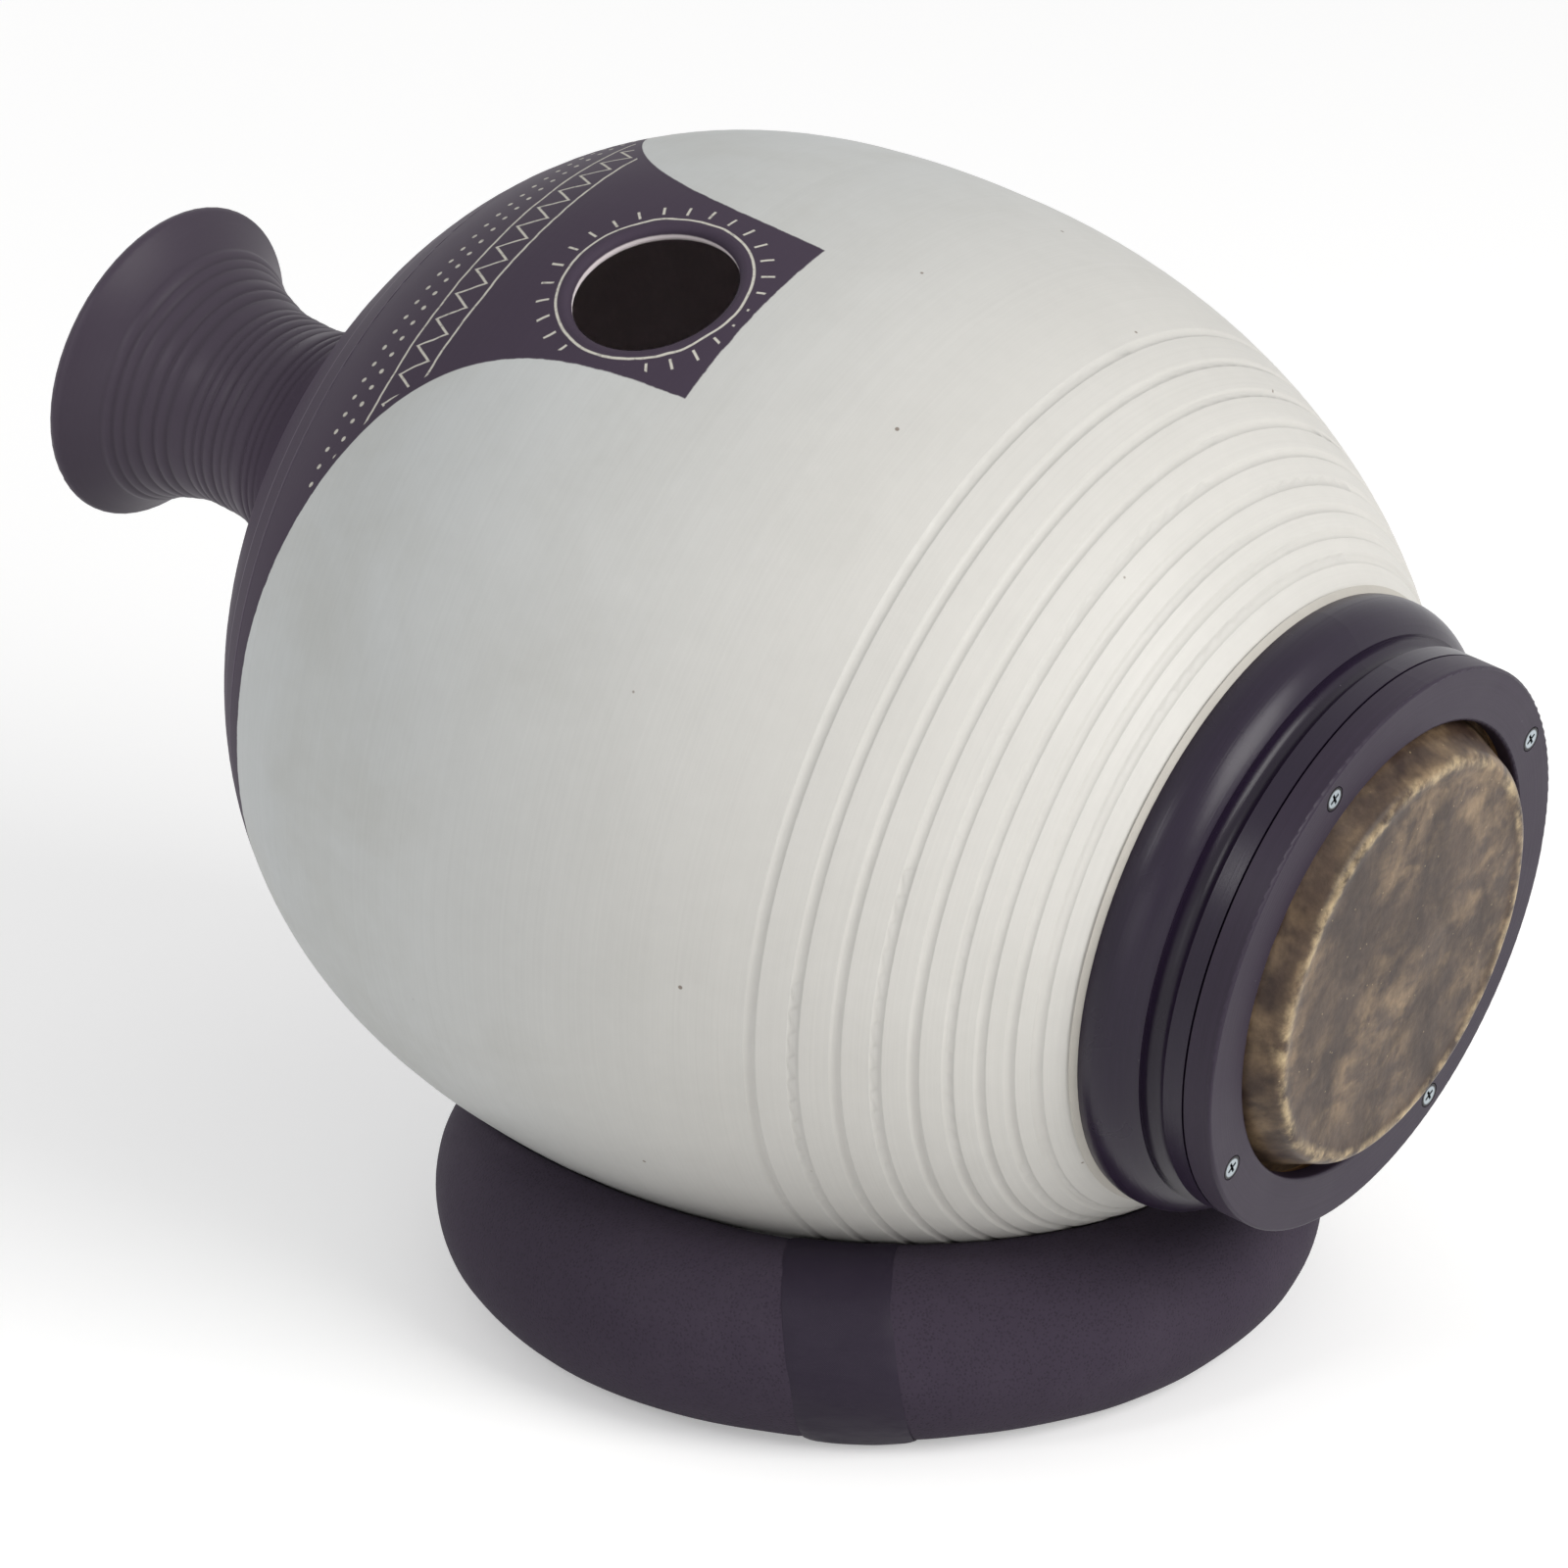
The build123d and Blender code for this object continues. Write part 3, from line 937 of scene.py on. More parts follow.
@dataclass(frozen=True)
class ClayFinish(Finish):
    """Off-white slip with a dark burnished zone, scratched lines and raw clay inside."""

    # Painted light and shade: the slip is darker towards the neck and lighter towards the head.
    pale_back_shaded: Colour = paint(197, 200, 200)
    pale_head_lit: Colour = paint(206, 204, 199)
    stain: Colour = paint(172, 171, 163)
    dark: Colour = paint(72, 63, 76)
    # Painted highlight on the two fine grooves round the neck's foot.
    pale_highlight: Colour = paint(118, 110, 122)
    scratch: Colour = paint(205, 202, 192)
    raw: Colour = paint(240, 230, 232)
    speck: Colour = paint(112, 96, 84)
    clouds: float = 0.05
    ragged: Clouding = Clouding(260.0, 3.0, 0.6)
    ragged_width: float = 1.0
    wander: Clouding = Clouding(90.0, 2.0, 0.5)
    wander_width: float = 1.6
    line_share: float = 0.4
    stroke_tone: Ramp = Ramp(0.3, 1.1, 0.975, 1.02)
    # Painted shade in the belly's grooves.
    groove_shade: Ramp = Ramp(0.0, 1.0, 1.0, 0.96)
    # Painted shade in the neck's grooves and painted highlight on its ridge crowns.
    ridge_shade_and_highlight: Ramp = Ramp(0.05, 0.95, 0.84, 1.05)
    shaded_to_lit: Ramp = Ramp(-110.0, 120.0)
    stains: Clouding = Clouding(13.0, 5.0, 0.62, 0.4)
    stain_edge: Ramp = Ramp(0.36, 0.74)
    stain_strength: Ramp = Ramp(-60.0, 60.0, 0.32, 0.12)
    specks: Specks = Specks(42.0, 0.036, 0.55, 0.8)
    cap_lines: Tuple[float, float] = (-131.1, -139.0)
    cap_highlight: Ramp = Ramp(0.1, 0.5, 0.65, 0.0)
    scratch_wear: Clouding = Clouding(600.0, 2.0, 0.6)
    scratch_strength: Ramp = Ramp(0.25, 0.5, 0.55, 1.0)
    scratch_roughness: float = 0.3
    scratch_depth: float = 2.0
    slip_roughness: Ramp = Ramp(0.0, 1.0, 0.6, 0.5)
    pale_coat: float = 0.4
    neck_coat: Ramp = Ramp(24.0, 56.0, 0.0, 0.4)
    grain_share: float = 0.5
    relief: float = 0.035 * MM

    def pale_slip(self, graph: Graph, place: Socket, station: Socket, tone: Socket) -> Socket:
        """Off-white slip with faint stains and specks, painted darker towards the neck as shade and lighter
        towards the head as light.

        Args:
            graph: Graph of the material.
            place: Object coordinates.
            station: Station on the drum's axis.
            tone: Factor of the colour.

        Returns:
            The colour.
        """
        # Painted shade towards the neck and painted light towards the head, along the drum's axis.
        colour = graph.mix(graph.ramp(station, self.shaded_to_lit), self.pale_back_shaded, self.pale_head_lit)
        stained = graph.ramp(graph.noise(place, self.stains), self.stain_edge)
        shown = graph.math("MULTIPLY", stained, graph.ramp(station, self.stain_strength))
        colour = graph.shade(graph.mix(shown, colour, self.stain), tone)
        return graph.mix(DUST_SPECKS.cover(graph, place, self.specks), colour, self.speck)

    def dark_slip(self, graph: Graph, station: Socket, tone: Socket, scratched: Socket) -> Socket:
        """Dark slip with painted highlights along the two fine grooves round the neck's foot, and the
        scratched lines.

        Args:
            graph: Graph of the material.
            station: Station on the drum's axis.
            tone: Factor of the colour.
            scratched: Mask of the scratched lines.

        Returns:
            The colour.
        """
        # Painted highlights: the dark slip is lighter along the two fine grooves.
        away = [graph.math("ABSOLUTE", graph.math("SUBTRACT", station, line)) for line in self.cap_lines]
        pale_highlight = graph.ramp(graph.math("MINIMUM", *away), self.cap_highlight)
        colour = graph.mix(pale_highlight, graph.shade(self.dark, tone), self.pale_highlight)
        return graph.mix(scratched, colour, self.scratch)

    def dress(self, graph: Graph, place: Socket) -> Dict[str, Socket]:
        """Paint the slip by its plan and give it brush marks and a fine tooth; arguments as in Finish."""
        spot = DRUM_PLACE.use(graph, Place=place)
        where = {name: spot[name] for name in DRUM_PLACE.gives}
        station, radius = where["Station"], where["Radius"]
        length = NECK_PLACE.use(graph, Place=place)["Station"]
        ragged = graph.sway(place, self.ragged, self.ragged_width)
        wander = graph.sway(place, self.wander, self.wander_width)
        plan = SLIP_PLAN.use(graph, Ragged=ragged, **where)
        bands = SCRATCHED_BANDS.use(graph, Reach=plan["Reach"], Wander=wander, **where)
        grain = FINE_GRAIN.use(graph, Place=place, Clouds=self.clouds)
        across = graph.math("MULTIPLY", radius, self.line_share)
        lines = TURNING_LINES.use(graph, Along=station, Across=across, Turn=where["Turn"])
        turning = GROOVED_TURNING.use(
            graph, Place=place, Station=station, Radius=radius, Depth=plan["Depth"])
        ridges = NECK_RIDGES.use(graph, Length=length)

        tone = graph.math("MULTIPLY", grain["Tone"], graph.ramp(lines["Height"], self.stroke_tone))
        # Painted shade: the slip is darker in the belly's grooves.
        groove_shaded = graph.math("MULTIPLY", tone, graph.ramp(turning["Groove"], self.groove_shade))
        # Painted shade in the neck's grooves and painted highlight on the crowns of its ridges.
        crown = graph.step(ridges["Mask"], 0.0, 1.0, 1.0, graph.ramp(ridges["Crown"], self.ridge_shade_and_highlight))
        strength = graph.ramp(graph.noise(place, self.scratch_wear), self.scratch_strength)
        scratched = graph.math("MULTIPLY", bands["Mask"], strength)
        pale = self.pale_slip(graph, place, station, groove_shaded)
        dark = self.dark_slip(graph, station, graph.math("MULTIPLY", tone, crown), scratched)
        outside = graph.mix(plan["Dark"], pale, dark)

        matt = graph.math("MULTIPLY", scratched, self.scratch_roughness)
        coat = graph.step(plan["Dark"], 0.0, 1.0, self.pale_coat, graph.ramp(length, self.neck_coat))
        cut = graph.product(scratched, plan["Dark"], -self.scratch_depth)
        tooth = graph.math("MULTIPLY", grain["Height"], self.grain_share)
        height = graph.chain(tooth, ("ADD", lines["Height"]), ("ADD", cut))
        return {
            "Base Color": graph.mix(plan["Inside"], outside, graph.shade(self.raw, grain["Tone"])),
            "Roughness": graph.math("ADD", graph.ramp(plan["Dark"], self.slip_roughness), matt),
            "Coat Weight": coat,
            "Normal": graph.bump(height, self.relief, turning["Normal"]),
        }


@dataclass(frozen=True)
class LacquerFinish(Finish):
    """Black lacquer on a turned piece."""

    colour: Colour = paint(33, 24, 41)
    dust: Colour = paint(96, 90, 98)
    clouds: float = 0.12
    line_tone: Ramp = Ramp(0.3, 1.1, 0.88, 1.1)
    specks: Specks = Specks(170.0, 0.05, 0.3, 0.7)
    gloss: Clouding = Clouding(40.0, 3.0, 0.6)
    gloss_width: float = 0.14
    grain_share: float = 0.25
    relief: float = 0.045 * MM

    def dress(self, graph: Graph, place: Socket) -> Dict[str, Socket]:
        """Turning lines under the lacquer, a cloudy gloss and a little dust; arguments as in Finish."""
        spot = DRUM_PLACE.use(graph, Place=place)
        lines = TURNING_LINES.use(graph, Along=spot["Station"], Across=spot["Radius"], Turn=spot["Turn"])
        grain = FINE_GRAIN.use(graph, Place=place, Clouds=self.clouds)
        tone = graph.math("MULTIPLY", grain["Tone"], graph.ramp(lines["Height"], self.line_tone))
        dusty = DUST_SPECKS.cover(graph, place, self.specks)
        tooth = graph.math("MULTIPLY", grain["Height"], self.grain_share)
        height = graph.math("ADD", tooth, lines["Height"])
        gloss = graph.sway(place, self.gloss, self.gloss_width)
        return {
            "Base Color": graph.mix(dusty, graph.shade(self.colour, tone), self.dust),
            "Roughness": graph.math("ADD", gloss, self.roughness),
            "Normal": graph.bump(height, self.relief),
        }


@dataclass(frozen=True)
class HideFinish(Finish):
    """Mottled rawhide: pale where it is drawn over the hoop's edge, with a painted highlight there, smoky
    brown within.
    """

    smoke: Colour = paint(57, 46, 41)
    brown: Colour = paint(78, 63, 52)
    straw: Colour = paint(130, 109, 84)
    # Pale hide on the ridge, which also serves as its painted highlight; the pores take this colour too.
    amber: Colour = paint(176, 156, 122)
    soot: Colour = paint(50, 36, 31)
    clouds: Clouding = Clouding(34.0, 5.0, 0.6, 0.5, (1.0, 1.35, 0.8))
    patches: Clouding = Clouding(85.0, 3.0, 0.6, 0.3, (1.0, 0.8, 1.2))
    flecks: Clouding = Clouding(330.0, 3.0, 0.7, 0.0, (1.0, 1.2, 0.9))
    zones: Clouding = Clouding(17.0, 3.0, 0.55, 0.6, (1.0, 1.1, 0.8))
    face_brown: Ramp = Ramp(0.34, 0.6)
    face_straw: Ramp = Ramp(0.38, 0.72)
    straw_zone: Ramp = Ramp(0.38, 0.6)
    straw_cloud: Ramp = Ramp(0.36, 0.6, 0.4, 1.0)
    face_smoke: Ramp = Ramp(0.26, 0.44, 0.6, 0.0)
    uneven: Clouding = Clouding(60.0, 4.0, 0.65)
    uneven_width: float = 7.0
    ridge_radius: float = 64.8
    ridge: Ramp = Ramp(0.2, 3.4, 1.0, 0.0)
    wear: Clouding = Clouding(130.0, 4.0, 0.65)
    wear_share: Ramp = Ramp(0.36, 0.68, 0.0, 0.95)
    blotches: Clouding = Clouding(80.0, 3.0, 0.55, 0.3)
    side_brown: Ramp = Ramp(0.3, 0.66)
    lights: Clouding = Clouding(66.0, 3.0, 0.5, 0.2)
    side_straw: Ramp = Ramp(0.4, 0.72, 0.0, 0.8)
    side_start: Ramp = Ramp(66.6, 69.2)
    side_uneven: float = 0.2
    fleck_tone: Ramp = Ramp(0.25, 0.75, 0.8, 1.2)
    pores: Specks = Specks(420.0, 0.16, 0.12, 0.5)
    gloss: Ramp = Ramp(0.3, 0.7, 0.06, -0.06)
    patch_height: float = 1.6
    relief: float = 0.09 * MM

    def face(self, graph: Graph, place: Socket, clouds: Socket, patches: Socket) -> Socket:
        """Colour of the flat face.

        Args:
            graph: Graph of the material.
            place: Object coordinates.
            clouds: Broad clouds.
            patches: Smaller patches.

        Returns:
            The colour.
        """
        zone = graph.ramp(graph.noise(place, self.zones), self.straw_zone)
        pale = graph.product(
            graph.ramp(patches, self.face_straw), zone, graph.ramp(clouds, self.straw_cloud))
        face = graph.mix(graph.ramp(clouds, self.face_brown), self.smoke, self.brown)
        face = graph.mix(pale, face, self.straw)
        return graph.mix(graph.ramp(patches, self.face_smoke), face, self.smoke)

    def side(self, graph: Graph, place: Socket) -> Socket:
        """Colour of the sloped side.

        Args:
            graph: Graph of the material.
            place: Object coordinates.

        Returns:
            The colour.
        """
        brown = graph.ramp(graph.noise(place, self.blotches), self.side_brown)
        straw = graph.ramp(graph.noise(place, self.lights), self.side_straw)
        return graph.mix(straw, graph.mix(brown, self.soot, self.brown), self.straw)

    def dress(self, graph: Graph, place: Socket) -> Dict[str, Socket]:
        """Clouds on the face, pale wear with a painted highlight on the ridge, and blotches down the side;
        arguments as in Finish.
        """
        radius = DRUM_PLACE.use(graph, Place=place)["Radius"]
        clouds, patches, flecks = [
            graph.noise(place, kind) for kind in (self.clouds, self.patches, self.flecks)]
        uneven = graph.sway(place, self.uneven, self.uneven_width)
        off = graph.math("ABSOLUTE", graph.chain(radius, ("SUBTRACT", self.ridge_radius), ("ADD", uneven)))
        worn = graph.ramp(graph.noise(place, self.wear), self.wear_share)
        # Pale worn hide and a painted highlight along the ridge over the hoop's edge.
        pale_highlight = graph.math("MULTIPLY", graph.ramp(off, self.ridge), worn)
        face = graph.mix(pale_highlight, self.face(graph, place, clouds, patches), self.amber)
        edge = graph.math("ADD", radius, graph.math("MULTIPLY", uneven, self.side_uneven))
        colour = graph.mix(graph.ramp(edge, self.side_start), face, self.side(graph, place))
        colour = graph.shade(colour, graph.ramp(flecks, self.fleck_tone))
        height = graph.math("ADD", flecks, graph.math("MULTIPLY", patches, self.patch_height))
        return {
            "Base Color": graph.mix(DUST_SPECKS.cover(graph, place, self.pores), colour, self.amber),
            "Roughness": graph.math("ADD", graph.ramp(clouds, self.gloss), self.roughness),
            "Normal": graph.bump(height, self.relief),
        }


@dataclass(frozen=True)
class SteelFinish(Finish):
    """Zinc-plated screw with painted shade in its recess and a painted shadow round its rim."""

    bright: Colour = paint(176, 186, 192)
    # Painted shade in the recess and painted shadow round the countersunk rim.
    recess_shade: Colour = paint(34, 32, 36)
    clouds: float = 0.2
    face_station: float = 211.7
    recess: Ramp = Ramp(-0.7, -0.12, 1.0, 0.0)
    circle_radius: float = 85.05
    first_turn: float = 33.2
    spacing: float = 90.0
    rim_radius: float = 3.0
    rim_blur: float = 0.3
    scratches: Clouding = Clouding(900.0, 2.0, 0.6, 0.0, (1.0, 6.0, 1.0))
    gloss: Ramp = Ramp(0.3, 0.7, -0.06, 0.1)
    relief: float = 0.02 * MM

    def dress(self, graph: Graph, place: Socket) -> Dict[str, Socket]:
        """Bright face with fine scratches, with painted shade at its rim and below it; arguments as in
        Finish.
        """
        spot = DRUM_PLACE.use(graph, Place=place)
        grain = FINE_GRAIN.use(graph, Place=place, Clouds=self.clouds)
        deep = graph.ramp(graph.math("SUBTRACT", spot["Station"], self.face_station), self.recess)
        half = self.spacing / 2
        ahead = graph.math("ADD", spot["Turn"], 360.0 + half - self.first_turn)
        turn = graph.chain(ahead, ("MODULO", self.spacing), ("SUBTRACT", half))
        across = graph.math("MULTIPLY", turn, self.circle_radius * math.pi / 180)
        out = graph.math("SUBTRACT", spot["Radius"], self.circle_radius)
        rim_shadow = graph.past(graph.hypot(across, out), self.rim_radius, self.rim_blur)
        # Painted shade below the face and painted shadow round the rim.
        shaded = graph.math("MAXIMUM", deep, rim_shadow)
        scratches = graph.noise(place, self.scratches)
        return {
            "Base Color": graph.mix(shaded, graph.shade(self.bright, grain["Tone"]), self.recess_shade),
            "Roughness": graph.math("ADD", graph.ramp(scratches, self.gloss), self.roughness),
            "Normal": graph.bump(scratches, self.relief),
        }


@dataclass(frozen=True)
class GrainFinish(Finish):
    """Plain surface with a cloudy tone and a fine tooth."""

    colour: Colour = paint(128, 128, 128)
    clouds: float = 0.1
    gloss_share: float = 0.5
    relief: float = 0.05 * MM

    def dress(self, graph: Graph, place: Socket) -> Dict[str, Socket]:
        """Tone, roughness and bump from the fine grain; arguments as in Finish."""
        grain = FINE_GRAIN.use(graph, Place=place, Clouds=self.clouds)
        gloss = graph.chain(grain["Tone"], ("SUBTRACT", 1.0), ("MULTIPLY", self.gloss_share))
        return {
            "Base Color": graph.shade(self.colour, grain["Tone"]),
            "Roughness": graph.math("ADD", gloss, self.roughness),
            "Normal": graph.bump(grain["Height"], self.relief),
        }


@dataclass(frozen=True)
class WoodFinish(Finish):
    """Bare bent wood with grain round the hoop."""

    early: Colour = paint(196, 164, 122)
    late: Colour = paint(148, 110, 72)
    radius_share: float = 0.6
    station_share: float = 0.35
    turn_share: float = 0.02
    rings: Clouding = Clouding(1.6, 4.0, 0.6, 0.5)
    late_share: Ramp = Ramp(0.35, 0.65)
    relief: float = 0.08 * MM

    def dress(self, graph: Graph, place: Socket) -> Dict[str, Socket]:
        """Growth lines that follow the hoop; arguments as in Finish."""
        spot = DRUM_PLACE.use(graph, Place=place)
        out = graph.math("MULTIPLY", spot["Radius"], self.radius_share)
        along = graph.math("MULTIPLY", spot["Station"], self.station_share)
        turn = graph.math("MULTIPLY", spot["Turn"], self.turn_share)
        rings = graph.noise(graph.combine(out, along, turn), self.rings)
        return {
            "Base Color": graph.mix(graph.ramp(rings, self.late_share), self.early, self.late),
            "Normal": graph.bump(rings, self.relief),
        }


@dataclass(frozen=True)
class FoamFinish(Finish):
    """Fine dark foam with open pores and a little dust."""

    colour: Colour = paint(52, 44, 57)
    dust: Colour = paint(74, 66, 78)
    clouds: float = 0.12
    pores: float = 900.0
    pit: Ramp = Ramp(0.1, 0.55)
    # Painted shade in the pores.
    pore_shade: Ramp = Ramp(0.0, 1.0, 0.8, 1.08)
    dust_clouds: Clouding = Clouding(18.0, 5.0, 0.65)
    dust_share: Ramp = Ramp(0.45, 0.8, 0.0, 0.3)
    grain_share: float = 0.5
    relief: float = 0.1 * MM

    def dress(self, graph: Graph, place: Socket) -> Dict[str, Socket]:
        """Pores as small pits with painted shade in them, and dust that lies in faint clouds; arguments as
        in Finish.
        """
        grain = FINE_GRAIN.use(graph, Place=place, Clouds=self.clouds)
        pits = graph.ramp(graph.cells(place, self.pores)["Distance"], self.pit)
        # Painted shade: the foam is darker in its pores.
        tone = graph.math("MULTIPLY", grain["Tone"], graph.ramp(pits, self.pore_shade))
        dusty = graph.ramp(graph.noise(place, self.dust_clouds), self.dust_share)
        tooth = graph.math("MULTIPLY", grain["Height"], self.grain_share)
        return {
            "Base Color": graph.mix(dusty, graph.shade(self.colour, tone), self.dust),
            "Normal": graph.bump(graph.math("ADD", pits, tooth), self.relief),
        }


@dataclass(frozen=True)
class TapeFinish(Finish):
    """Dark cloth tape with a plastic face."""

    colour: Colour = paint(35, 27, 42)
    clouds: float = 0.15
    thread: float = 1400.0
    weave_tone: Ramp = Ramp(0.0, 1.0, 0.92, 1.06)
    creases: Clouding = Clouding(60.0, 3.0, 0.6, 0.4, (1.0, 1.0, 3.0))
    gloss: Ramp = Ramp(0.3, 0.7, -0.05, 0.07)
    weave_height: float = 0.3
    crease_height: float = 3.0
    relief: float = 0.06 * MM

    def dress(self, graph: Graph, place: Socket) -> Dict[str, Socket]:
        """Faint weave under the face, with creases; arguments as in Finish."""
        parts = graph.node("ShaderNodeSeparateXYZ")
        graph.fill(parts, graph.node("ShaderNodeUVMap", uv_map="wrap").outputs[0])
        turns = [graph.math("MULTIPLY", parts.outputs[i], self.thread * math.tau) for i in range(2)]
        crossed = graph.product(*[graph.math("SINE", turn) for turn in turns])
        weave = graph.chain(crossed, ("MULTIPLY", 0.5), ("ADD", 0.5))
        grain = FINE_GRAIN.use(graph, Place=place, Clouds=self.clouds)
        tone = graph.math("MULTIPLY", grain["Tone"], graph.ramp(weave, self.weave_tone))
        creases = graph.noise(place, self.creases)
        low = graph.math("MULTIPLY", weave, self.weave_height)
        height = graph.math("ADD", low, graph.math("MULTIPLY", creases, self.crease_height))
        return {
            "Base Color": graph.shade(self.colour, tone),
            "Roughness": graph.math("ADD", graph.ramp(creases, self.gloss), self.roughness),
            "Normal": graph.bump(height, self.relief),
        }


FINISHES = {
    Slot.CLAY: ClayFinish("slip_on_clay", specular=0.03, coat_roughness=0.42),
    Slot.SEALANT: GrainFinish(
        "grey_sealant", roughness=0.7, colour=paint(184, 180, 172), clouds=0.14, relief=0.08 * MM),
    Slot.COLLAR: LacquerFinish("collar_lacquer", roughness=0.29, specular=0.28),
    Slot.RING: LacquerFinish("clamp_lacquer", roughness=0.46, specular=0.25, colour=paint(42, 33, 48)),
    Slot.WOOD: WoodFinish("hoop_wood", roughness=0.65),
    Slot.HIDE: HideFinish("drum_hide", roughness=0.4, specular=0.24),
    Slot.STEEL: SteelFinish("zinc_plate", roughness=0.34, metallic=0.9),
    Slot.BRASS: GrainFinish(
        "turned_brass", roughness=0.35, metallic=1.0, colour=paint(206, 170, 98), clouds=0.12),
    Slot.FOAM: FoamFinish("ring_foam", roughness=0.86, specular=0.25),
    Slot.TAPE: TapeFinish("ring_tape", roughness=0.6, specular=0.25),
}


class Paintbox:
    """Materials by slot, each built once."""

    def __init__(self) -> None:
        """Start with no material."""
        self.made: Dict[Slot, bpy.types.Material] = {}

    def get(self, slot: Slot) -> bpy.types.Material:
        """Material of a slot."""
        if slot not in self.made:
            self.made[slot] = FINISHES[slot].material()
        return self.made[slot]

    def carried_nodes(self) -> None:
        """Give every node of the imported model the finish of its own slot."""
        for row in frame["record"]["subparts"]:
            node = frame["nodes"][row["node"]]
            node.data.materials.clear()
            node.data.materials.append(self.get(Slot(row["material_slot"])))

    def new_piece(self, piece: bpy.types.Object, slot: Slot, body: str) -> None:
        """Give a new piece its finish and the body that it rides on.

        Args:
            piece: New piece.
            slot: Material slot of its finish.
            body: Name of the body.
        """
        piece.data.materials.clear()
        piece.data.materials.append(self.get(slot))
        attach(piece, body)


class Shaper:
    """Modelling steps that several pieces share."""

    merge_distance = 0.002 * MM
    smooth_angle = math.radians(50)

    @staticmethod
    def clear_selection() -> None:
        """Deselect everything, in object mode."""
        if bpy.context.mode != "OBJECT":
            bpy.ops.object.mode_set(mode="OBJECT")
        bpy.ops.object.select_all(action="DESELECT")

    @classmethod
    def spun(cls, name: str, section: Sequence[Range], steps: int) -> bpy.types.Object:
        """Spin a closed section about the Z axis.

        Args:
            name: Name of the piece.
            section: Corners as (radius, height), in metres.
            steps: Number of steps round the axis.

        Returns:
            The piece, drawn upright at the origin.
        """
        cls.clear_selection()
        bpy.ops.mesh.primitive_circle_add(
            vertices=len(section), radius=1.0, fill_type="NOTHING", location=(0, 0, 0))
        piece = bpy.context.object
        piece.name = name
        for vertex, (radius, height) in zip(piece.data.vertices, section):
            vertex.co = (radius, 0.0, height)
        bpy.ops.object.mode_set(mode="EDIT")
        bpy.ops.mesh.select_all(action="SELECT")
        bpy.ops.mesh.spin(steps=steps, angle=math.tau, center=(0, 0, 0), axis=(0, 0, 1))
        bpy.ops.mesh.select_all(action="SELECT")
        bpy.ops.mesh.remove_doubles(threshold=cls.merge_distance)
        bpy.ops.mesh.normals_make_consistent(inside=False)
        bpy.ops.object.mode_set(mode="OBJECT")
        bpy.ops.object.shade_smooth_by_angle(angle=cls.smooth_angle)
        return piece

    @classmethod
    def apply(cls, piece: bpy.types.Object, kind: str, **settings: object) -> None:
        """Add a modifier and apply it.

        Args:
            piece: Piece that is changed.
            kind: Blender's name of the modifier type.
            settings: Properties of the modifier with their values.
        """
        cls.clear_selection()
        bpy.context.view_layer.objects.active = piece
        piece.select_set(True)
        made = piece.modifiers.new(kind.lower(), kind)
        for name, value in settings.items():
            setattr(made, name, value)
        bpy.ops.object.modifier_apply(modifier=made.name)


@dataclass
class GroovedNeck:
    """Turned outside of the neck: a thin sleeve of soft ridges with grooves between them."""

    throat_length: float = 59.6
    throat_radius: float = 33.1
    root_spread: float = 27.4
    mouth_spread: float = 20.6
    mouth_flare: float = 2.19
    lip_length: float = 107.9
    lip_start: float = 96.0
    lip_rise: float = 1.1
    start: float = 26.0
    end: float = 106.8
    ridge: float = 0.75
    ridge_least: float = 0.8
    ridge_change: float = 0.2
    change_rate: float = 0.33
    change_start: float = 0.6
    fullness: float = 0.6
    fade: float = 5.0
    mouth_fade: float = 3.0
    end_fade: float = 0.7
    lift: float = 0.1
    sink: float = 0.3
    depth_inside: float = 1.2
    stops: int = 240
    inner_every: int = 12
    steps: int = 168

    def radius_at(self, length: float) -> float:
        """Outer radius of the plain neck.

        Args:
            length: Length along the neck, in millimetres.

        Returns:
            The radius, in millimetres.
        """
        if length > self.throat_length:
            share = (length - self.throat_length) / (self.lip_length - self.throat_length)
            lip = max(length - self.lip_start, 0.0) / (self.end - self.lip_start)
            flare = self.mouth_spread * share ** self.mouth_flare
            return self.throat_radius + flare + self.lip_rise * lip * lip
        return self.throat_radius + self.root_spread * (1 - length / self.throat_length) ** 2

    def ridge_at(self, length: float) -> float:
        """Rise of the ridges over the plain neck.

        Args:
            length: Length along the neck, in millimetres.

        Returns:
            The rise, in millimetres, below zero where the sleeve ends inside the clay.
        """
        first, last = NECK_RIDGES.first_groove, NECK_RIDGES.last_groove
        wave = abs(math.sin(math.pi * (length + NECK_RIDGES.wander(length) - first) / NECK_RIDGES.pitch))
        change = self.ridge_change * math.sin(length * self.change_rate + self.change_start)
        shape = self.ridge * (self.ridge_least + change) * wave ** self.fullness
        shown = ease(length, first - self.fade, first) * (1 - ease(length, last, last + self.mouth_fade))
        near_end = ease(length, self.end - self.end_fade, self.end)
        ends = ease(length, self.start, self.start + self.fade) * (1 - near_end)
        return shape * shown + self.lift * ends - self.sink * (1 - ends)

    def build(self) -> bpy.types.Object:
        """Model the sleeve at its place on the neck."""
        run = self.end - self.start
        stops = [self.start + run * i / self.stops for i in range(self.stops + 1)]
        outer = [((self.radius_at(stop) + self.ridge_at(stop)) * MM, stop * MM) for stop in stops]
        few = stops[::self.inner_every]
        inner = [((self.radius_at(stop) - self.depth_inside) * MM, stop * MM) for stop in few]
        piece = Shaper.spun("neck_turning", outer + inner[::-1], self.steps)
        piece.data.transform(NECK.matrix())
        return piece


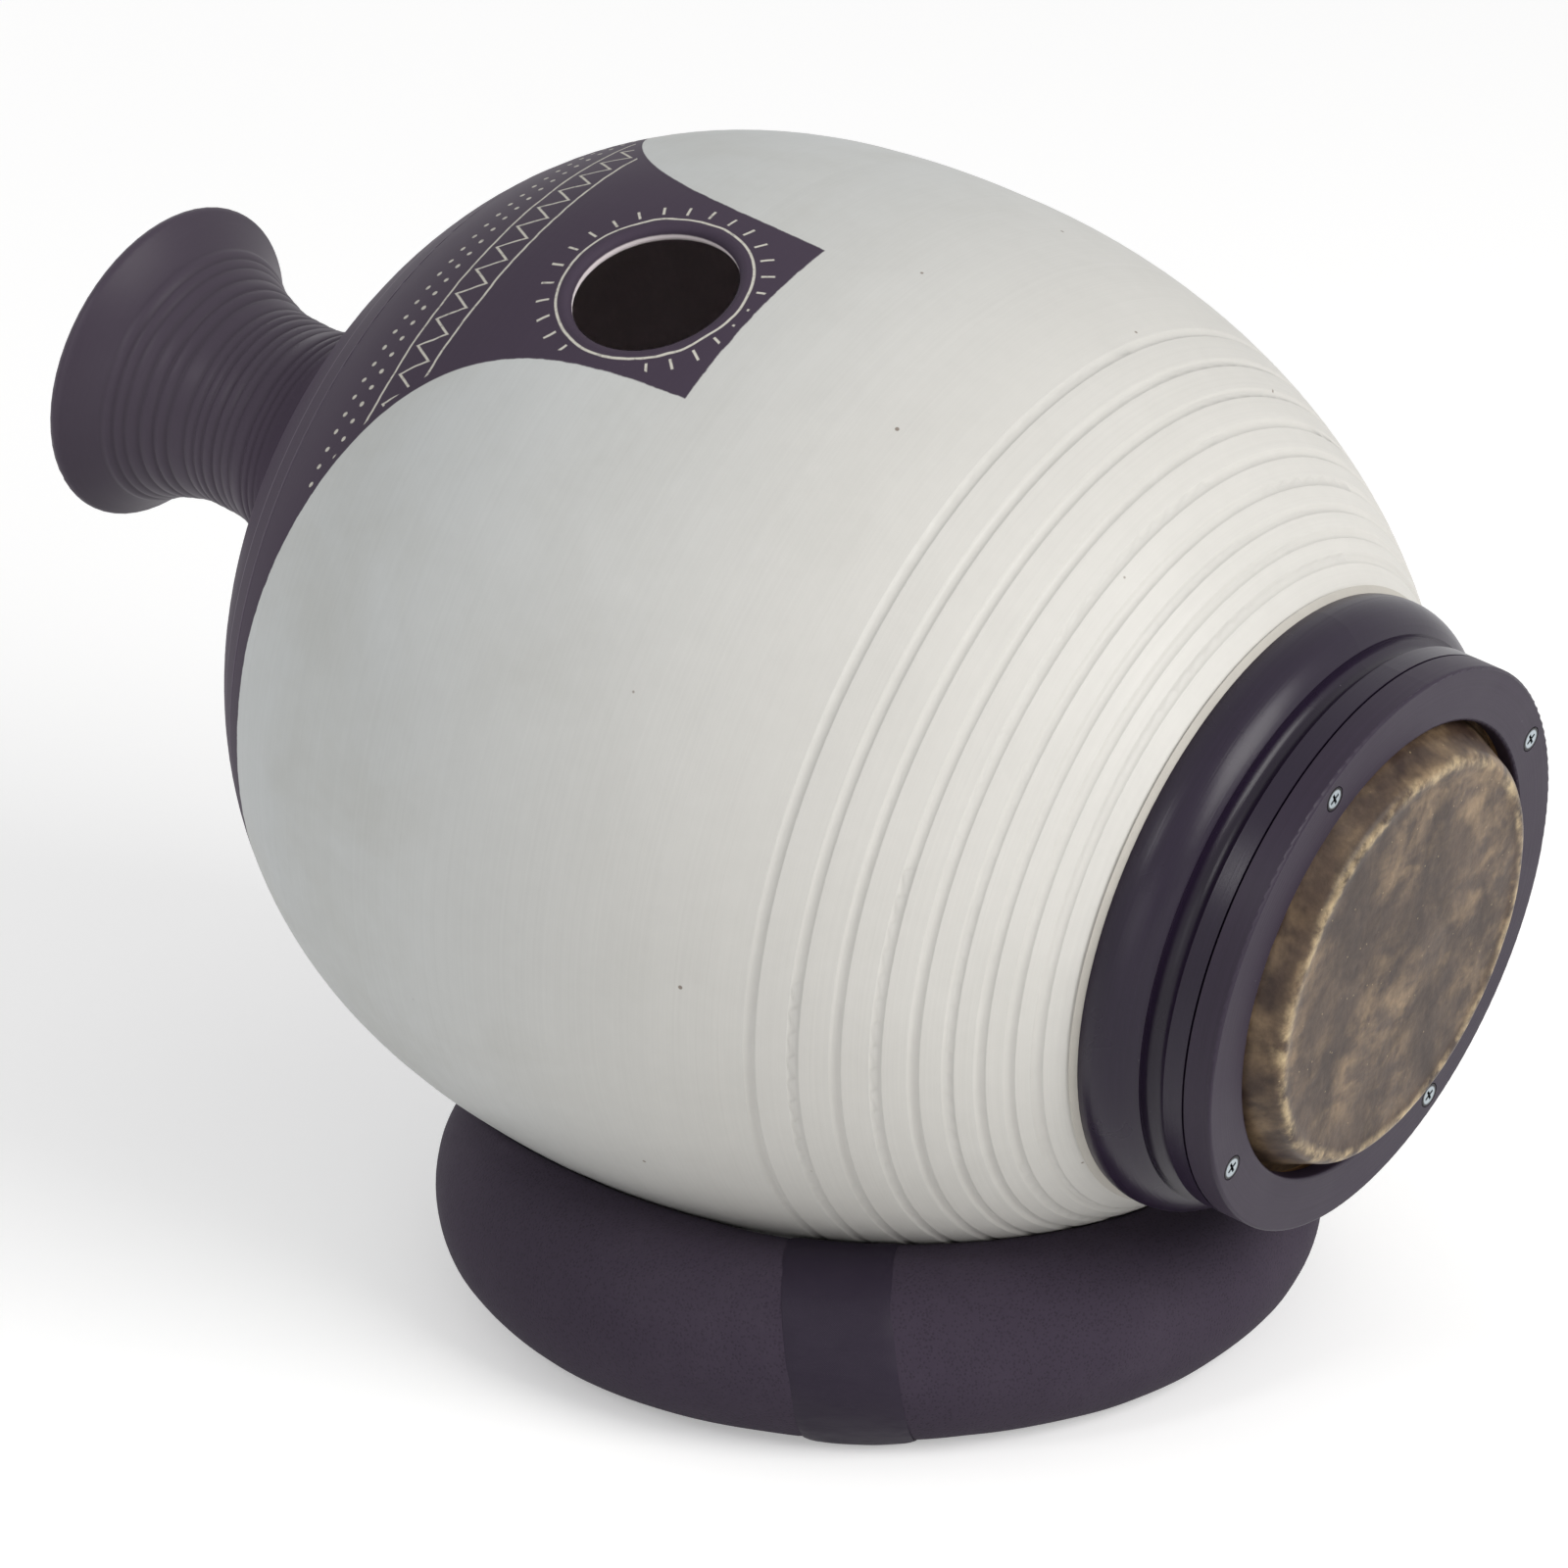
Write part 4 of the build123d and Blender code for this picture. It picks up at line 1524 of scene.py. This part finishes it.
@dataclass
class DrumHide:
    """Skin of the head: a flat face, a ridge over the hoop's edge and a sloped side under the clamp."""

    thickness: float = 0.8
    top: float = 219.7
    edge_radius: float = 67.6
    foot_radius: float = 74.0
    foot: float = 202.1
    outer_radius: float = 80.0
    bend: float = 3.6
    bend_share: float = 0.9
    sag: float = 0.5
    sag_lead: float = 1.0
    hoop_inner_radius: float = 60.6
    side_end: Range = (-0.6, 2.2)
    flange: Tuple[Range, ...] = ((0.5, 0.8), (1.8, 0.15), (3.0, 0.0))
    face_steps: int = 26
    ridge_steps: int = 7
    bend_steps: int = 8
    side_steps: int = 14
    steps: int = 192
    lump_scale: float = 45.0
    lump_depth: float = 0.3
    fine_scale: float = 160.0
    fine_depth: float = 0.12
    lump_start: Range = (8.0, 30.0)
    lump_end: Range = (74.0, 77.0)
    pleat_scale: float = 9.0
    pleat_seed: float = 3.7
    pleat_depth: float = 0.45
    pleat_start: Range = (67.0, 71.0)
    pleat_end: Range = (73.0, 75.5)
    draw_in: float = 0.1
    draw_start: Range = (60.0, 68.0)
    middle_radius: float = 1.0

    def upper_line(self) -> List[Range]:
        """Upper side of the skin from the middle to its edge, as (radius, station) in millimetres."""
        inner = self.hoop_inner_radius
        flat_end = self.edge_radius - self.bend * self.bend_share
        foot_top = self.foot + self.thickness / 2
        line = [(inner * i / self.face_steps, self.top - self.sag) for i in range(self.face_steps)]
        for i in range(self.ridge_steps + 1):
            radius = inner + (flat_end - inner) * i / self.ridge_steps
            line.append((radius, self.top - self.sag * (1 - ease(radius, inner - self.sag_lead, flat_end))))
        slope = math.atan2(self.top - self.foot - self.thickness / 2, self.foot_radius - self.edge_radius)
        for i in range(1, self.bend_steps + 1):
            turn = slope * i / self.bend_steps
            line.append((flat_end + self.bend * math.sin(turn), self.top - self.bend * (1 - math.cos(turn))))
        start = line[-1]
        run = self.foot_radius + self.side_end[0] - start[0]
        drop = foot_top + self.side_end[1] - start[1]
        for i in range(1, self.side_steps + 1):
            line.append((start[0] + run * i / self.side_steps, start[1] + drop * i / self.side_steps))
        line += [(self.foot_radius + out, foot_top + up) for out, up in self.flange]
        return line + [(self.outer_radius, foot_top)]

    def lower_line(self, upper: Sequence[Range]) -> List[Range]:
        """Lower side, one thickness below the upper one.

        Args:
            upper: Upper side, as (radius, station) in millimetres.

        Returns:
            The lower side in the same order.
        """
        lower = []
        for i, (radius, station) in enumerate(upper):
            before, after = upper[max(i - 1, 0)], upper[min(i + 1, len(upper) - 1)]
            way = Vector((after[0] - before[0], after[1] - before[1])).normalized()
            lower.append((max(radius + way.y * self.thickness, 0.0), station - way.x * self.thickness))
        return lower

    def build(self) -> bpy.types.Object:
        """Model the skin, with the small lumps of drawn hide, at its place on the head."""
        upper = self.upper_line()
        section = [(radius * MM, station * MM) for radius, station in upper + self.lower_line(upper)[::-1]]
        piece = Shaper.spun("drum_hide", section, self.steps)
        for vertex in piece.data.vertices:
            self.relief(vertex)
        piece.data.transform(DRUM.matrix())
        return piece

    def relief(self, vertex: bpy.types.MeshVertex) -> None:
        """Move a point of the upright skin a little inwards, as drawn hide is never even.

        Args:
            vertex: Point that is moved.
        """
        radius = math.hypot(vertex.co.x, vertex.co.y) / MM
        turn = math.atan2(vertex.co.y, vertex.co.x)
        lumps = 0.5 + 0.5 * noise.noise(vertex.co * self.lump_scale)
        fine = 0.5 + 0.5 * noise.noise(vertex.co * self.fine_scale)
        shown = ease(radius, *self.lump_start) * (1 - ease(radius, *self.lump_end))
        vertex.co.z -= (self.lump_depth * lumps + self.fine_depth * fine) * MM * shown
        x, y = math.cos(turn) * self.pleat_scale, math.sin(turn) * self.pleat_scale
        around = Vector((x, y, self.pleat_seed))
        shown = ease(radius, *self.pleat_start) * (1 - ease(radius, *self.pleat_end))
        pull = self.pleat_depth * noise.noise(around) * shown
        if radius > self.middle_radius:
            factor = 1 - (pull + self.draw_in) / radius * ease(radius, *self.draw_start)
            vertex.co.x *= factor
            vertex.co.y *= factor

    def cut_size(self) -> Range:
        """Diameter and area of the round cut, along the skin's upper side, in metres."""
        line = self.upper_line()
        run = sum(math.dist(a, b) for a, b in zip(line, line[1:]))
        return 2 * run * MM, math.pi * (run * MM) ** 2


@dataclass
class FoamStand:
    """Foam ring that the pot has pressed down, with the tape round the place where its ends meet.

    waves holds the unevenness of the foam, each wave as its scale and its height in millimetres.
    """

    tube_radius: float = 29.9
    circle_radius: float = 111.7
    height: float = 28.4
    seat_gap: float = 0.2
    floor_gap: float = 0.05
    floor_rounding: float = 0.8
    cling: float = 5.0
    waves: Tuple[Range, ...] = ((0.021, 0.5), (0.06, 0.2))
    wave_drop: float = 0.45
    turns: int = 240
    sides: int = 88
    tape_width: float = 34.0
    tape_thickness: float = 0.5
    tape_turn: float = math.radians(-59.0)
    tape_slant: float = math.tan(math.radians(8.0))
    tape_room: float = 0.1
    tape_dent: float = 0.35
    dent_inside: float = 1.5
    dent_outside: float = 0.5
    tape_rows: int = 132
    tape_columns: int = 20
    tape_rounding: float = 0.6
    bulge: float = 1.3
    bulge_wrap: float = -1.25
    bulge_length: float = 0.3
    bulge_share: float = 0.62
    crease: float = 0.22
    crease_across: float = 0.09
    crease_round: float = 3.0
    crease_seed: float = 1.3
    tuck: float = 0.5
    tuck_width: float = 2.5
    merge_distance: float = 0.02 * MM
    smooth_angle: float = math.radians(55)
    cut_steps: int = 200

    def tape_offset(self, point: Vector) -> float:
        """Distance of a point from the tape's middle line.

        Args:
            point: Point in millimetres.

        Returns:
            The distance along the ring, in millimetres.
        """
        turn = math.atan2(point.y, point.x) - self.tape_turn
        turn = math.atan2(math.sin(turn), math.cos(turn))
        return turn * math.hypot(point.x, point.y) + (point.z - self.height) * self.tape_slant

    def settle(self, point: Vector, sunk: float, softness: float) -> Vector:
        """Press a point of the round tube flat on the floor and against the pot.

        Args:
            point: Point in millimetres.
            sunk: Room that is left for the tape.
            softness: Rounding of the edge on the floor.

        Returns:
            The settled point, in millimetres.
        """
        settled = point.copy()
        settled.z = soft_max(settled.z, sunk, softness)
        local = settled - DRUM.origin / MM
        station = local.dot(DRUM.along)
        outward = local - DRUM.along * station
        radius = outward.length
        seat = BELLY.radius_at(station) + self.seat_gap + sunk
        above = max(radius - seat, 0.0)
        pressed = seat + above * ease(above, 0.0, self.cling)
        return settled + outward * ((pressed - radius) / radius)

    def ring_point(self, place: Vector) -> Vector:
        """Point of the uneven foam, pressed down and dented under the tape.

        Args:
            place: Point of the plain ring about the origin, in metres.

        Returns:
            The point, in metres.
        """
        point = place / MM + Vector((0, 0, self.height))
        waves = sum(noise.noise(point * scale) * height for scale, height in self.waves)
        way = Vector((point.x, point.y, 0)).normalized()
        middle = way * self.circle_radius + Vector((0, 0, self.height))
        point += (point - middle).normalized() * (waves - self.wave_drop)
        edge = self.tape_width / 2
        away = abs(self.tape_offset(point))
        covered = 1 - ease(away, edge - self.dent_inside, edge + self.dent_outside)
        point -= (point - middle).normalized() * self.tape_dent * covered
        sunk = self.floor_gap + (self.tape_thickness + self.tape_room) * covered
        return self.settle(point, sunk, self.floor_rounding) * MM

    def ring(self) -> bpy.types.Object:
        """Model the foam ring."""
        Shaper.clear_selection()
        bpy.ops.mesh.primitive_torus_add(
            major_segments=self.turns, minor_segments=self.sides, location=(0, 0, 0),
            major_radius=self.circle_radius * MM, minor_radius=self.tube_radius * MM)
        piece = bpy.context.object
        piece.name = "foam_ring"
        for vertex in piece.data.vertices:
            vertex.co = self.ring_point(vertex.co)
        bpy.ops.object.shade_smooth()
        return piece

    def tape(self) -> bpy.types.Object:
        """Model the tape as a strip that is wrapped round the tube."""
        Shaper.clear_selection()
        bpy.ops.mesh.primitive_grid_add(
            x_subdivisions=self.tape_columns, y_subdivisions=self.tape_rows, size=2.0,
            location=(0, 0, 0), calc_uvs=True)
        piece = bpy.context.object
        piece.name = "foam_ring_tape"
        half = self.tape_width / 2
        layer = piece.data.uv_layers.active
        layer.name = "wrap"
        for loop in piece.data.loops:
            place = piece.data.vertices[loop.vertex_index].co
            layer.data[loop.index].uv = (place.x * half * MM, place.y * math.pi * self.tube_radius * MM)
        for vertex in piece.data.vertices:
            vertex.co = self.tape_point(vertex.co.x * half, vertex.co.y * math.pi) * MM
        Shaper.apply(piece, "SOLIDIFY", thickness=self.tape_thickness * MM, offset=-1.0)
        bpy.ops.object.mode_set(mode="EDIT")
        bpy.ops.mesh.select_all(action="SELECT")
        bpy.ops.mesh.remove_doubles(threshold=self.merge_distance)
        bpy.ops.object.mode_set(mode="OBJECT")
        bpy.ops.object.shade_smooth_by_angle(angle=self.smooth_angle)
        return piece

    def tape_point(self, across: float, wrap: float) -> Vector:
        """Point of the tape's outer side.

        Args:
            across: Distance from the tape's middle line, in millimetres.
            wrap: Angle round the tube, zero outwards and growing upwards from below.

        Returns:
            The point, in millimetres.
        """
        low = math.exp(-((wrap - self.bulge_wrap) / self.bulge_length) ** 2)
        bulge = self.bulge * low * (1 - (across / (self.tape_width * self.bulge_share)) ** 2)
        seat = Vector((across * self.crease_across, wrap * self.crease_round, self.crease_seed))
        edge = self.tape_width / 2
        tucked = self.tuck * ease(abs(across), edge - self.tuck_width, edge)
        tube = self.tube_radius + self.tape_room + bulge + self.crease * noise.noise(seat) - tucked
        rise = tube * math.sin(wrap)
        reach = self.circle_radius + tube * math.cos(wrap)
        turn = self.tape_turn + (across - rise * self.tape_slant) / reach
        point = Vector((reach * math.cos(turn), reach * math.sin(turn), self.height + rise))
        return self.settle(point, self.floor_gap, self.tape_rounding)

    def tape_cut(self) -> Range:
        """Width and length of the tape's strip, in metres."""
        wraps = [math.tau * i / self.cut_steps - math.pi for i in range(self.cut_steps + 1)]
        points = [self.tape_point(0.0, wrap) for wrap in wraps]
        length = sum((b - a).length for a, b in zip(points, points[1:]))
        return self.tape_width * MM, length * MM


@dataclass
class SoftBox:
    """Large soft lamp that looks at the drum."""

    name: str
    way: Tuple[float, float, float]
    width: float
    height: float
    power: float
    tint: Tuple[float, float, float] = (1.0, 1.0, 1.0)
    distance: float = 2.4

    def build(self, target: Vector) -> None:
        """Place the lamp and turn it to the target.

        Args:
            target: Point that it looks at.
        """
        lamp = bpy.data.lights.new(self.name, "AREA")
        lamp.shape = "RECTANGLE"
        lamp.size, lamp.size_y = self.width, self.height
        lamp.energy = self.power
        lamp.color = self.tint
        holder = bpy.data.objects.new(self.name, lamp)
        bpy.context.scene.collection.objects.link(holder)
        holder.location = target + Vector(self.way).normalized() * self.distance
        holder.rotation_euler = (target - holder.location).to_track_quat("-Z", "Y").to_euler()


@dataclass
class Studio:
    """Pale floor, soft light and the camera."""

    camera_place: Tuple[float, float, float] = (1.4448, -2.0497, 1.3066)
    azimuth: float = 35.87
    elevation: float = 24.45
    lens: float = 202.73
    sensor: float = 36.0
    clip: Range = (0.05, 100.0)
    target: Tuple[float, float, float] = (-0.02, 0.0, 0.17)
    sky: float = 0.486
    floor_radius: float = 9.0
    floor_corners: int = 96
    floor_shade: float = 0.86
    floor_roughness: float = 0.9
    floor_glow: float = 0.34

    @staticmethod
    def boxes() -> Iterable[SoftBox]:
        """Key from the head's side, a wide box behind the neck and two weak ones in front."""
        yield SoftBox("key_soft_box", (0.87, 0.0, 0.5), 1.5, 1.5, 41.0, (1.0, 0.99, 0.975))
        yield SoftBox("left_soft_box", (-0.9, 0.36, 0.12), 2.2, 1.6, 8.0)
        yield SoftBox("fill_soft_box", (0.26, -0.97, 0.02), 1.5, 1.5, 6.0)
        yield SoftBox("front_soft_box", (-0.22, -0.75, 0.62), 0.45, 0.7, 6.5)

    def camera(self) -> None:
        """Stand the camera where the photograph was taken from."""
        lens = bpy.data.cameras.new("camera")
        lens.lens, lens.sensor_width = self.lens, self.sensor
        lens.clip_start, lens.clip_end = self.clip
        holder = bpy.data.objects.new("camera", lens)
        bpy.context.scene.collection.objects.link(holder)
        holder.location = self.camera_place
        holder.rotation_euler = (math.radians(90 - self.elevation), 0.0, math.radians(self.azimuth))
        bpy.context.scene.camera = holder

    @staticmethod
    def seen(graph: Graph) -> Socket:
        """Mask of the rays that show the background itself, also in gloss and glass.

        Args:
            graph: Graph of the world or of the floor's material.

        Returns:
            The mask.
        """
        path = graph.node("ShaderNodeLightPath").outputs
        gloss = graph.math("MAXIMUM", path["Is Glossy Ray"], path["Is Transmission Ray"])
        return graph.math("MAXIMUM", path["Is Camera Ray"], gloss)

    def world(self) -> None:
        """Even white sky, brighter where it is looked at."""
        world = bpy.data.worlds.new("white_room")
        bpy.context.scene.world = world
        world.use_nodes = True
        graph = Graph(world.node_tree)
        back = world.node_tree.nodes["Background"]
        back.inputs["Color"].default_value = (1.0, 1.0, 1.0, 1.0)
        strength = graph.chain(self.seen(graph), ("MULTIPLY", 1.0 - self.sky), ("ADD", self.sky))
        graph.feed(strength, back.inputs["Strength"])

    def floor(self) -> None:
        """Pale floor that keeps the drum's shadow."""
        Shaper.clear_selection()
        bpy.ops.mesh.primitive_circle_add(
            vertices=self.floor_corners, radius=self.floor_radius, fill_type="NGON", location=(0, 0, 0))
        piece = bpy.context.object
        piece.name = "floor"
        made = bpy.data.materials.new("pale_floor")
        made.use_nodes = True
        graph = Graph(made.node_tree)
        shader = made.node_tree.nodes["Principled BSDF"]
        shader.inputs["Roughness"].default_value = self.floor_roughness
        shader.inputs["Specular IOR Level"].default_value = 0.0
        shade = self.floor_shade
        shader.inputs["Base Color"].default_value = (shade, shade, shade, 1.0)
        glow = graph.node("ShaderNodeEmission")
        graph.feed(graph.math("MULTIPLY", self.seen(graph), self.floor_glow), glow.inputs["Strength"])
        both = graph.fill(graph.node("ShaderNodeAddShader"), shader.outputs[0], glow.outputs[0])
        graph.feed(both, made.node_tree.nodes["Material Output"].inputs["Surface"])
        piece.data.materials.append(made)

    def build(self) -> None:
        """Set up the whole studio."""
        bpy.context.scene.view_settings.view_transform = "Standard"
        self.camera()
        self.world()
        self.floor()
        for box in self.boxes():
            box.build(Vector(self.target))


def main() -> None:
    """Dress the carried nodes, model the new pieces and set up the studio."""
    logging.basicConfig(level=logging.INFO, format="%(name)s: %(message)s")
    paints = Paintbox()
    paints.carried_nodes()
    log.info("finishes on %d carried nodes", len(frame["nodes"]))

    neck = GroovedNeck().build()
    paints.new_piece(neck, Slot.CLAY, "drum")
    log.info("%s: %d faces", neck.name, len(neck.data.polygons))

    head = DrumHide()
    hide = head.build()
    paints.new_piece(hide, Slot.HIDE, "drum")
    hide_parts("drum_skin")
    across, area = head.cut_size()
    log.info("%s: %d faces, cut %.3f m across", hide.name, len(hide.data.polygons), across)

    stand = FoamStand()
    ring = stand.ring()
    paints.new_piece(ring, Slot.FOAM, "stand")
    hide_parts("stand_ring")
    log.info("%s: %d faces", ring.name, len(ring.data.polygons))

    tape = stand.tape()
    paints.new_piece(tape, Slot.TAPE, "stand")
    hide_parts("stand_tape")
    stand.tape_cut()
    log.info("%s: %d faces, strip %.3f m long", tape.name, len(tape.data.polygons), stand.tape_cut()[1])

    Studio().build()


if __name__ == "__main__":
    main()
